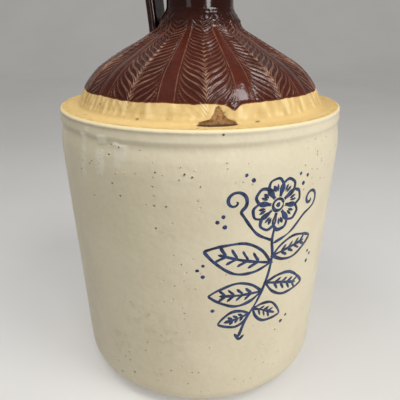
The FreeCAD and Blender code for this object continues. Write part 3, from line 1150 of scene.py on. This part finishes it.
def crown_turns(leaves):
    """Turns of the columns, closer together at each midrib and each leaf's edge."""
    knots = np.array([0, 0.06, 0.14, 0.62, 0.72, 0.80, 0.87, 1.0])
    spots = np.array([0, 0.17, 0.30, 0.66, 0.78, 0.88, 0.94, 1.0])
    parts = np.interp(np.linspace(0, 1, CROWN_HALF_COLUMNS + 1), spots, knots) * 180.0 / leaves
    sector = np.concatenate([-parts[::-1][:-1], parts[:-1]])
    middles = np.arange(leaves) * 360.0 / leaves - FACE
    leaf = np.repeat(np.arange(leaves), len(sector))
    return (middles[:, None] + sector[None, :]).ravel(), np.tile(sector, leaves), leaf


def leaflet_ridges(order, out, leaf):
    """How strongly a leaflet's ridge shows: plain ribs near the neck, outlined petals below."""
    step = leaflet_place(order - 0.5) - leaflet_place(order + 0.5)
    lower = smooth(8.0, 14.0, order)
    rounded = 0.22 + 0.23 * np.sin(math.pi * np.clip(out, 0, 1) ** 1.15) ** 0.6
    wide = (1 - lower) * 0.5 + lower * rounded
    phase = order + 0.06 * uneven(21, 9.0, order, leaf * 5.3, out * 4)
    part = np.abs(phase - np.floor(phase) - 0.5)
    gap = np.abs(part - wide) * step / (0.55 + 0.08 * lower)
    strength = 0.85 + 0.25 * uneven(22, 14.0, order * 3, leaf * 7.7, out * 6)
    return strength * (bump(gap, 0, 1) + 0.35 * lower * (1 - np.clip(part / wide, 0, 1)))


def leaf_relief(order, offset, distance, radius, leaf, sizes):
    """Height of the pressed leaves over their ground, how sharply they crest, and where. The crest
    lightens the glaze: partly glaze breaking, partly painted highlight on ridges, midribs and
    border lines.
    """
    half = 180.0 / sizes.leaves
    out = np.abs(offset) / (half * LEAF_HALF_SHARE)
    upper = 1 - smooth(3.0, 8.0, order)
    inside = 1 - smooth(0.95, 1.02, out)
    inside = inside * (1 - 0.75 * upper * bump(offset, 0, 0.9))
    middle = bump(offset, 0, 1.2) * (1 - 0.6 * upper)
    pressed = smooth(LEAVES_START, 15.5, distance) * (0.45 + 0.55 * smooth(19.0, 24.0, distance))
    pressed = pressed * (1 - smooth(LEAVES_END, LEAVES_GONE, distance))
    ridges = leaflet_ridges(order, out, leaf) * inside * (0.85 + 0.45 * middle)
    band = np.clip(1 - ((half - np.abs(offset)) / BAND_HALF) ** 2, 0, 1) ** 0.6
    border_turn = half * LEAF_HALF_SHARE + 0.6
    border = bump(around(np.abs(offset) - border_turn, radius), 0, 0.45)
    height = pressed * (
        sizes.ridge * ridges + sizes.midrib * middle + sizes.band * band + sizes.border * border
    )
    # The crest lightens the glaze later: partly glaze breaking, partly painted highlight, strongest
    # at midribs and border lines.
    crest = pressed * np.clip(ridges * (0.9 + middle * 0.4) + border * 0.6, 0, 1)
    return height, crest, pressed * inside


def chip_field(turns, distance, radius):
    """How far inside the chip each spot lies, in millimetres; negative outside."""
    where, left, right = np.array(CHIP_OUTLINE).T
    left = wrapped(turns - np.interp(distance, where, left))
    right = wrapped(np.interp(distance, where, right) - turns)
    side = around(np.minimum(left, right), radius)
    side = side + 0.3 * uneven(28, 3.5, turns * 1.3, distance)
    ends = np.minimum(distance - where[0], where[-1] - distance)
    return np.clip(np.minimum(side, ends), -4, 4)


def edge_field(turns, distance, sizes):
    """Distance over the glaze's lower edge, in millimetres, drips included."""
    spots = [75 * part for part in ways(turns)]
    edge = sizes.glaze_edge / MM + 0.35 * uneven(31, 30.0, *spots) + 0.15 * uneven(32, 8.0, *spots)
    for turn, depth, reach in EDGE_DRIPS:
        edge = edge - depth * bump(wrapped(turns - turn), 0, reach)
    return np.clip(distance - edge, -6, 30)


def collar_lumps(turns, distance):
    """Thick glaze gathered in a lumpy ring on the collar, in millimetres."""
    beads = 0.5 + 0.22 * np.abs(np.cos(np.radians(turns * 21.0))) ** 1.5
    ring = beads + 0.12 * uneven(24, 5.0, distance, turns * 0.4)
    above = 0.04 * uneven(27, 4.0, distance, turns * 0.38)
    return 0.75 * (bump(distance, 89.3, 2.0) * ring + bump(distance, 87.5, 3.5) * above)


def crown_surface(sizes, line, turns, offset, leaf):
    """Radius and height over the ledge of every spot of the crown, and the marks on it."""
    run = walked(line) / MM + CROWN_START
    middle, rise = crown_rows()
    out = np.abs(offset) / (180.0 / sizes.leaves * LEAF_HALF_SHARE)
    distance = middle[:, None] + rise[:, None] * leaflet_curve(out)[None, :]
    base = sampled(distance, run, line)
    radius = base[..., 0] / MM
    order = leaflet_orders(distance, out) + 0.07 * uneven(23, 11.0, leaf * 3.1, out * 3)[None, :]
    offset, leaf = np.broadcast_to(offset, distance.shape), np.broadcast_to(leaf, distance.shape)
    height, crest, within = leaf_relief(order, offset, distance, radius, leaf, sizes)
    turns = turns[None, :]
    edge = edge_field(turns, distance, sizes)
    chip = chip_field(turns, distance, radius)
    broken = smooth(0.0, 1.0, chip)
    rough = uneven(25, 2.3, distance, turns * 1.3) * 0.22
    # streak tilts small facets, and also paints their light and shade as pale and dark streaks.
    streak = uneven(26, 4.2, turns * 1.31, distance * 0.25) * smooth(12.0, 15.0, distance)
    coat = 0.16 * smooth(-0.05, 0.9, edge)
    drip = 0.55 * bump(wrapped(turns - DRIP_TURN), 0, 1.5) * bump(edge, 1.2, 1.0)
    facets = 0.12 * streak * smooth(2.0, -0.5, edge)
    hole = bump(wrapped(turns - HOLE[0]), 0, 0.6) * bump(distance, HOLE[1], 0.6)
    sunk = smooth(LEAVES_START, 16.0, distance) * (1 - smooth(LEAVES_END, LEAVES_GONE, distance))
    lift = (height - sizes.ground * sunk) * (1 - 0.8 * broken)
    lift = lift + (collar_lumps(turns, distance) + coat + drip + facets - HOLE_DEPTH * hole) * MM
    lift = lift - broken * (sizes.chip_depth + rough * MM)
    lifted = base + sampled(distance, run, outward_normals(line)) * lift[..., None]
    specks = sum(
        bump(wrapped(turns - turn), 0, wide) * bump(distance, where, 0.55)
        for turn, where, wide in LEDGE_SPECKS
    )
    # Darker over the chip's lower part, fading out higher up.
    dirt = 0.95 * smooth(12.6, 11.6, distance) + 0.3 * smooth(15.0, 13.0, distance)
    return lifted[..., 0], lifted[..., 1], {
        # crest lightens the glaze: partly breaking, partly painted highlight.
        "crest": crest * smooth(0.0, 1.5, edge),
        "edge": edge,
        # Between the ridges: pooled glaze, partly painted shade.
        "hollow": within * (1 - crest) * smooth(13, 16, distance),
        "streak": streak,
        # Deep brown towards the neck: thick glaze, partly painted shade.
        "deep": smooth(78.0, 90.0, distance),
        "chip": chip,
        "dirt": broken * dirt,
        # The hole's middle is darkened with the speck colour too.
        "speck": np.clip(specks * 1.4 + bump(hole, 1, 0.4 / HOLE_DEPTH), 0, 1) * 0.85,
    }


def make_crown():
    """The ledge and the pressed crown, closed by its inner face."""
    sizes = bpy.context.scene.jug_crown
    ledge = bpy.context.scene.jug_wall.height
    turns, offset, leaf = crown_turns(sizes.leaves)
    line = crown_line(sizes, bpy.context.scene.jug_neck)
    radius, height, marks = crown_surface(sizes, line, turns, offset, leaf)
    inner = np.array(beside(
        0, ledge, (19.4, 57.6), (17.0, 57.5), (16.2, 50.0), (19.5, 42.5), (28.4, 36.0),
        (48.0, 24.8), (66.5, 5.0), (72.0, -6.0), (78.0, -6.5), (83.0, -3.4), (84.1, -1.4),
    ))
    hidden = {"edge": 20.0, "chip": -4.0, "deep": 1.0}
    for name, field in marks.items():
        closing = np.full((len(inner), len(turns)), hidden.get(name, 0.0))
        marks[name] = np.concatenate([field, closing])
    points = np.concatenate([
        turned(radius, turns[None, :], height + ledge),
        turned(inner[:, :1], turns[None, :], inner[:, 1:]),
    ])
    return ring_piece("jug_crown", points, marks)


# The neck and the handle


def make_neck():
    """The neck with its thick lip and its bore."""
    sizes = bpy.context.scene.jug_neck
    ledge = bpy.context.scene.jug_wall.height
    mouth = MOUTH - BASE
    foot = mouth - sizes.lip_height
    lip = sizes.radius + sizes.lip_overhang
    rounding, bore, edge = sizes.lip_rounding, sizes.bore, 2 * MM
    outer = resampled(
        [
            *beside(sizes.radius, ledge, (-0.6, 52.5), (0.2, 54.5), (0, 57.5), (-0.1, 66)),
            *beside(sizes.radius, foot, (-0.1, -2.5), (0.2, -0.6), (1.4, 0.7)),
            *beside(lip, foot, (-0.5, 2.2), (0, 4.5)),
            *beside(lip, mouth - rounding, (-0.05, -1)),
        ],
        0.7 * MM,
    )
    path = joined(
        outer,
        arc((lip - rounding, mouth - rounding), rounding, 0, 90, 10),
        arc((bore + edge, mouth - edge), edge, 90, 180, 7),
        evened([(bore, mouth - edge), *beside(bore, ledge, (0, 44))], 3 * MM),
        beside(bore, ledge, (1.5, 41), (4.5, 39.5), (5.5, 45), (6.5, 51)),
    )
    turns = np.arange(NECK_COLUMNS) * 360.0 / NECK_COLUMNS
    height = np.repeat(path[:, 1:], NECK_COLUMNS, 1)
    spots = [20 * part for part in ways(turns[None, :])]
    wobble = uneven(51, 16.0, *spots, height / MM) * 0.12 * MM
    shown = (path[:, 1:] < mouth - 1 * MM) & (path[:, :1] > sizes.radius - 1 * MM)
    radius = path[:, :1] + np.where(shown, wobble, 0.0)
    rim = smooth(mouth - 3.5 * MM, mouth - 0.5 * MM, height) * (radius > bore + 1 * MM)
    step = bump(height, foot + 1.8 * MM, 1.2 * MM) * (radius > sizes.radius)
    points = turned(radius, turns[None, :], height)
    return ring_piece("jug_neck", points, {"crest": rim * 0.8 + step * 0.3})


def strap_section(width, thickness, rounding, groove):
    """The strap's section: a rounded bar with two shallow grooves down its outer face."""
    corners = []
    for side, level, first in ((1, 1, 0), (-1, 1, 90), (-1, -1, 180), (1, -1, 270)):
        centre = (side * (width / 2 - rounding), level * (thickness / 2 - rounding))
        corners.append(arc(centre, rounding, first, first + 90, 6))
    outline = evened(joined(*corners, corners[0][:1]), 0.75 * MM)[:-1]
    dips = sum(bump(outline[:, 0], side * width * 0.2, width * 0.09) for side in (-1, 1))
    outline[:, 1] -= groove * dips * (outline[:, 1] > 0)
    return outline


def strap_path(sizes, neck, ledge):
    """The strap's middle line, out of the neck, round its bend and down into the crown."""
    top = MOUTH - BASE - neck.lip_height - sizes.drop
    spring = neck.radius - 1.3 * MM
    foot = (neck.radius + sizes.reach, ledge + 36.5 * MM)
    return resampled(
        joined(
            [(neck.radius - 5.3 * MM, top)],
            arc((spring, top - sizes.bend), sizes.bend, 90, 0, 9),
            evened([(spring + sizes.bend, top - sizes.bend), foot], 4 * MM)[1:],
        ),
        0.9 * MM,
    )


def make_strap():
    """The strap handle, swept along its middle line and wider at both ends."""
    sizes = bpy.context.scene.jug_strap
    path = strap_path(sizes, bpy.context.scene.jug_neck, bpy.context.scene.jug_wall.height)
    rings, crest = [], []
    parts = np.linspace(0, 1, len(path))
    for (reach, level), (out, up), part in zip(path, outward_normals(path), parts):
        spread = 1 + 0.10 * (1 - part) ** 2 + 0.10 * float(smooth(0.8, 1.0, part))
        thick = 1 + 0.22 * float(smooth(0.25, 0.0, part))
        section = strap_section(
            sizes.width * spread, sizes.thickness * thick, sizes.rounding, 0.35 * MM
        )
        rings.append(
            [
                (AXIS.x - (reach + out * rise), AXIS.y + across, BASE + level + up * rise)
                for across, rise in section
            ]
        )
        # Lighter strap edges: partly thin glaze, partly painted highlight.
        crest.append(np.clip(np.abs(section[:, 0]) / (sizes.width / 2) - 0.8, 0, 1) * 3)
    count = min(len(ring) for ring in rings)
    points = [evened_ring(np.array(ring), count) for ring in rings]
    marks = np.linspace(0, 1, count)
    crest = [np.interp(marks, np.linspace(0, 1, len(values)), values) for values in crest]
    return make_piece("strap_handle", points, capped_faces(len(points), count), {"crest": crest})


# The painting, in millimetres across and up from the sprig's middle

# Painted leaves: root, tip, width as a share of the length, and pairs of side veins.
PAINTED_LEAVES = (
    ((0, -22), (-32, -21), 0.24, 4), ((2, -17), (33, -27), 0.22, 4),
    ((4.5, -4), (-35, 8), 0.23, 4), ((5, 0), (36, 4), 0.22, 4),
    ((-7, -36), (-26, -41), 0.28, 3), ((-5, -33), (15, -43), 0.28, 3),
)

# Painted dots: across, up and radius.
SPRIG_DOTS = (
    (-24, 22, 1.5), (-28, 25, 1.3), (-25, 28, 1.2), (-35, -8, 1.4), (-38, -4, 1.2),
    (-35, -1, 1.1), (36, -14, 1.5), (39, -10, 1.2), (36, -7, 1.2), (23, 40, 1.4),
    (26, 44, 1.2), (20, 46, 1.1), (-10, 47, 1.4), (-14, 50, 1.1), (17, -50, 1.4),
    (21, -47, 1.1), (-29, -31, 1.3), (6, 31, 1.6),
)

# How far a stroke's edge lies under the glaze, and the first seeds of strokes and dots.
STROKE_ROOT = 0.12 * MM
STROKE_SEED = 60
DOT_SEED = 90

# Iron specks on the wall: turn, drop below the ledge and radius in millimetres.
WALL_SPECKS = (
    (7.3, 2.2, 0.8), (-41.0, 41.0, 0.5), (72.0, 60.0, 0.6), (140.0, 25.0, 0.8),
    (-110.0, 70.0, 0.6),
)


def oval_leaf(root, tip, width, veins):
    """Strokes of a painted leaf: its two sides, its vein and short side veins."""
    root, along = np.array(root, float), np.subtract(tip, root).astype(float)
    side = np.array([-along[1], along[0]]) * width
    outline = ((0, 0), (0.22, 0.72), (0.5, 1), (0.8, 0.55), (1, 0))
    strokes = [
        [root + along * far + side * out * sign for far, out in outline] for sign in (1, -1)
    ]
    strokes.append([root - along * 0.04, root + along * 0.4 + side * 0.06, root + along * 0.8])
    for vein in range(veins):
        start = root + along * (0.2 + 0.16 * vein)
        for sign in (1, -1):
            strokes.append([start, start + along * 0.08 + side * sign * 0.3,
                            start + along * 0.13 + side * sign * 0.52])
    return strokes


def petal(middle, heading):
    """Strokes of one petal: its outline and two short lines in it."""
    out = heading_of(heading)
    side = np.array([-out[1], out[0]])
    outline = (
        (4.4, -1.2), (9, -4.6), (14.2, -3.2), (15.2, 0), (14.2, 3.2), (9, 4.6), (4.4, 1.2)
    )
    lines = (outline, ((8, -0.52), (12, -1.3)), ((8, 0.52), (12, 1.3)))
    return [[middle + out * reach + side * lean for reach, lean in line] for line in lines]


def spiral(centre, start, size):
    """A small scroll winding in to its centre; start is the outer end's heading in degrees."""
    points = []
    for part in np.linspace(0, 1, 14):
        reach = size * (1 - part) ** 0.8 + 0.4
        points.append(centre + reach * heading_of(start + 1.2 * 360 * part))
    return points


def sprig_strokes():
    """Every brush stroke of the sprig."""
    strokes = [
        [(-13, -52), (-9, -40), (-2, -27), (3, -13), (5, 0), (4, 10), (5, 18)],
        [(-15.5, -49), (-12.5, -53.5), (-9.5, -51)],
    ]
    for leaf in PAINTED_LEAVES:
        strokes += oval_leaf(*leaf)
    middle = np.array([6.0, 31.0])
    for turn in range(12, 360, 45):
        strokes += petal(middle, turn)
    strokes.append([middle + 3.4 * heading_of(turn) for turn in np.linspace(0, 360, 13)])
    strokes.append([(4, 10), (-6, 16), (-14, 27), *spiral((-19, 36), -60, 6.5)])
    strokes.append([(5, 8), (16, 12), (26, 20), *spiral((31, 29), -80, 6.0)])
    return strokes


def on_wall(across, up, lift):
    """A place on the wall, from the sprig's middle; lift is its height over the glaze."""
    sizes = bpy.context.scene.jug_sprig
    height = bpy.context.scene.jug_wall.height - sizes.drop + up * sizes.scale
    turns = math.degrees(sizes.turn) + across * sizes.scale / around(1, wall_radius(height))
    return laid(turns, height, lift)


def stroke_mesh(line, width, build, seed):
    """Vertices, faces and crests of one brush stroke laid on the wall."""
    line = resampled(np.array(line, float) * MM, 0.55 * MM)
    side = -path_normals(line)
    part = np.linspace(0, 1, len(line))
    taper = np.clip(np.minimum(part, 1 - part) * len(line) * 0.5, 0.35, 1.0)
    half = width / 2 * taper * (1 + 0.22 * uneven(seed, 9.0, part * len(line) * 0.55))
    edge, shoulder = -STROKE_ROOT, build * 0.75
    section = ((-1, edge, 0.0), (-0.82, shoulder, 0.3), (0, build * 1.15, 1.0),
               (0.82, shoulder, 0.3), (1, edge, 0.0))
    rows = []
    for reach, lift, _ in section:
        spots = line + side * half[:, None] * reach
        rows.append(on_wall(spots[:, 0], spots[:, 1], lift))
    crest = np.tile([value for _, _, value in section], len(line))
    return np.stack(rows, 1).reshape(-1, 3), capped_faces(len(line), len(section)), crest


def bead(lay, reaches, rings):
    """Vertices, faces and crests of a flat bead.

    lay puts across, up and lift on the wall. Each ring gives its share of the reaches, its lift
    and its crest.
    """
    heading = np.linspace(0, TAU, len(reaches), endpoint=False)
    points = []
    for part, lift, _ in rings:
        reach = part * np.array(reaches)
        points.append(lay(reach * np.cos(heading), reach * np.sin(heading), lift))
    crest = np.repeat([value for _, _, value in rings], len(reaches))
    return np.concatenate(points), capped_faces(len(rings), len(reaches)), crest


def dot_mesh(across, up, radius, build, seed):
    """One painted dot."""
    draw = random.Random(seed)
    reaches = [draw.uniform(0.88, 1.1) * radius * MM for _ in range(14)]
    rings = ((1.0, -STROKE_ROOT, 0.0), (0.85, build * 0.75, 0.4), (0.4, build * 1.1, 1.0))
    return bead(
        lambda side, rise, lift: on_wall(across * MM + side, up * MM + rise, lift), reaches, rings
    )


def make_sprig():
    """The painted sprig: thin raised lines that follow the wall."""
    sizes = bpy.context.scene.jug_sprig
    parts = [
        stroke_mesh(line, sizes.stroke, sizes.build, seed)
        for seed, line in enumerate(sprig_strokes(), STROKE_SEED)
    ]
    parts += [dot_mesh(*dot, sizes.build, seed) for seed, dot in enumerate(SPRIG_DOTS, DOT_SEED)]
    vertices, faces, crests = gathered(parts)
    return make_piece("cobalt_sprig", vertices, faces, {"crest": crests})


def wall_speck(turn, drop, radius, draw):
    """One iron speck on the rim or wall."""
    height = bpy.context.scene.jug_wall.height - drop * MM
    one_degree = around(1, wall_radius(height))
    reaches = [draw.uniform(0.75, 1.2) * radius * MM for _ in range(12)]
    rings = ((1.0, -0.1 * MM, 0.0), (0.8, 0.08 * MM, 0.0), (0.35, 0.16 * MM, 0.0))
    return bead(
        lambda side, rise, lift: laid(turn + side / one_degree, height + rise, lift),
        reaches, rings,
    )


def make_specks():
    """Iron specks on the rim and wall, as small flat beads."""
    draw = random.Random(8)
    vertices, faces, _ = gathered([wall_speck(*speck, draw) for speck in WALL_SPECKS])
    return make_piece("iron_specks", vertices, faces)


# The stage

# Soft lamps: width and height, turn from the face, rise and distance, and whether glossy parts
# mirror them.
LAMPS = {
    "key": (0.25, 0.25, 47, 54, 0.75, True),
    "window": (0.26, 0.42, 27, 12, 1.1, True),
    "top": (0.35, 0.35, -60, 64, 0.5, False),
    "side": (0.3, 0.5, -40, 8, 1.2, True),
    "fill": (0.6, 0.6, 62, 16, 1.2, False),
}
LAMP_AIM = 0.15
FLOOR_FRONT = 2.5
FLOOR_BACK = -1.6
FLOOR_BEND = 0.8
FLOOR_TOP = 3.0
FLOOR_HALF = 3.0


def toward(turn, rise=0.0):
    """The unit step away from the jug at that turn from the face and rise, in degrees."""
    heading, lift = math.radians(FACE + turn), math.radians(rise)
    level = math.cos(lift)
    return Vector((math.cos(heading) * level, math.sin(heading) * level, math.sin(lift)))


def make_floor(settings):
    """A pale floor that curves up into a backdrop behind the jug."""
    front = toward(0)
    down = BASE - 0.2 * MM
    side = Vector((-front.y, front.x, 0))
    profile = [(FLOOR_FRONT, 0.0), (FLOOR_BACK, 0.0)]
    for t in np.linspace(0.1, math.pi / 2, 14):
        profile.append((FLOOR_BACK - FLOOR_BEND * math.sin(t), FLOOR_BEND * (1 - math.cos(t))))
    profile.append((FLOOR_BACK - FLOOR_BEND, FLOOR_TOP))
    vertices = []
    for away, up in profile:
        for across in (-FLOOR_HALF, FLOOR_HALF):
            spot = front * away + side * across
            vertices.append((spot.x, spot.y, down + up))
    faces = [(2 * n, 2 * n + 1, 2 * n + 3, 2 * n + 2) for n in range(len(profile) - 1)]
    floor = new_object("floor", vertices, faces)
    floor.data.materials.append(floor_material(settings))


def floor_material(settings):
    """Pale matt floor that looks a little paler than the light it throws back."""
    material, tree, surface = new_material("pale floor", specular=0.2)
    darker = tuple(0.96 * value for value in settings.floor)
    body = mixed(tree, patches(tree, 250, detail=3.0), settings.floor, darker)
    rough = patches(tree, 50, first=0.7, last=0.8)
    finish_material(tree, surface, body, rough, noise(tree, 10), 0.05)
    path = place(tree, "ShaderNodeLightPath").outputs
    seen = calc(tree, "MAXIMUM", path["Is Camera Ray"], path["Is Glossy Ray"])
    seen = calc(tree, "MAXIMUM", seen, path["Is Transmission Ray"])
    tree.links.new(body, surface.inputs["Emission Color"])
    tree.links.new(times(tree, seen, settings.glow), surface.inputs["Emission Strength"])
    return material


def make_lamp(name, watts, width, tall, turn, rise, distance, mirrored):
    """A soft rectangular lamp that faces the jug's upper half."""
    data = bpy.data.lights.new(name, "AREA")
    data.shape = "RECTANGLE"
    data.size, data.size_y = width, tall
    data.energy = watts
    away = toward(turn, rise)
    lamp = bpy.data.objects.new(name, data)
    lamp.location = Vector((AXIS.x, AXIS.y, BASE + LAMP_AIM)) + away * distance
    lamp.rotation_mode = "QUATERNION"
    lamp.rotation_quaternion = away.to_track_quat("Z", "Y")
    lamp.visible_glossy = mirrored
    bpy.context.scene.collection.objects.link(lamp)


def make_room(settings):
    """Even light from all round."""
    world = bpy.data.worlds.new("room")
    world.use_nodes = True
    backdrop = world.node_tree.nodes["Background"]
    backdrop.inputs["Color"].default_value = (1.0, 0.99, 0.97, 1.0)
    backdrop.inputs["Strength"].default_value = settings.sky
    bpy.context.scene.world = world


def make_camera(settings):
    """The camera before the jug's face, looking a little down."""
    data = bpy.data.cameras.new("camera")
    data.sensor_width = 36.0
    data.lens = settings.lens / MM
    camera = bpy.data.objects.new("camera", data)
    front = toward(0)
    camera.location = Vector((AXIS.x, AXIS.y, BASE + settings.eye)) + front * settings.distance
    gaze = -front * math.cos(settings.pitch) - Vector((0, 0, math.sin(settings.pitch)))
    camera.rotation_mode = "QUATERNION"
    camera.rotation_quaternion = gaze.to_track_quat("-Z", "Y")
    bpy.context.scene.collection.objects.link(camera)
    bpy.context.scene.camera = camera


# Operators and panel


class JUG_OT_groups(bpy.types.Operator):
    """Makes the node groups that several glazes share"""

    bl_idname = "jug.groups"
    bl_label = "Shared effects"

    def execute(self, context):
        make_mottle_group()
        make_skin_group()
        make_speck_group()
        return {"FINISHED"}


class JUG_OT_wall(bpy.types.Operator):
    """Makes the white wall with its base and inside"""

    bl_idname = "jug.wall"
    bl_label = "Wall"

    def execute(self, context):
        wall = make_wall()
        settle(wall, white_glaze())
        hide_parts("jug")
        return {"FINISHED"}


class JUG_OT_crown(bpy.types.Operator):
    """Makes the ledge and the leaf-pressed crown"""

    bl_idname = "jug.crown"
    bl_label = "Crown"

    def execute(self, context):
        settle(make_crown(), crown_glaze())
        return {"FINISHED"}


class JUG_OT_neck(bpy.types.Operator):
    """Makes the neck, lip and strap handle"""

    bl_idname = "jug.neck"
    bl_label = "Neck and handle"

    def execute(self, context):
        glaze = brown_glaze()
        settle(make_neck(), glaze)
        settle(make_strap(), glaze)
        return {"FINISHED"}


class JUG_OT_painting(bpy.types.Operator):
    """Makes the painted sprig and the iron specks"""

    bl_idname = "jug.painting"
    bl_label = "Painting and specks"

    def execute(self, context):
        settle(make_sprig(), cobalt_line())
        settle(make_specks(), speck_material())
        return {"FINISHED"}


class JUG_OT_stage(bpy.types.Operator):
    """Makes the floor, the light and the camera"""

    bl_idname = "jug.stage"
    bl_label = "Stage"

    def execute(self, context):
        settings = context.scene.jug_stage
        make_floor(settings)
        for name, placing in LAMPS.items():
            make_lamp(f"{name} lamp", getattr(settings, name), *placing)
        make_room(settings)
        make_camera(settings)
        context.scene.view_settings.view_transform = "Standard"
        return {"FINISHED"}


OPERATORS = (
    JUG_OT_groups, JUG_OT_wall, JUG_OT_crown, JUG_OT_neck, JUG_OT_painting, JUG_OT_stage
)


class JUG_PT_pieces(bpy.types.Panel):
    """Buttons for each piece of the jug and the stage"""

    bl_idname = "JUG_PT_pieces"
    bl_label = "Stoneware Jug"
    bl_space_type = "VIEW_3D"
    bl_region_type = "UI"
    bl_category = "Jug"

    def draw(self, context):
        for operator in OPERATORS:
            self.layout.operator(operator.bl_idname)
        for name in GROUPS:
            group = getattr(context.scene, name)
            box = self.layout.box()
            for field in group.__annotations__:
                box.prop(group, field)


def register():
    for group in GROUPS.values():
        bpy.utils.register_class(group)
    for name, group in GROUPS.items():
        setattr(bpy.types.Scene, name, bpy.props.PointerProperty(type=group))
    for kind in (*OPERATORS, JUG_PT_pieces):
        bpy.utils.register_class(kind)


def unregister():
    for kind in (JUG_PT_pieces, *reversed(OPERATORS)):
        bpy.utils.unregister_class(kind)
    for name, group in reversed(GROUPS.items()):
        delattr(bpy.types.Scene, name)
        bpy.utils.unregister_class(group)


def main():
    """Build everything in order."""
    register()
    for step in ("groups", "wall", "crown", "neck", "painting", "stage"):
        getattr(bpy.ops.jug, step)()


if __name__ == "__main__":
    main()
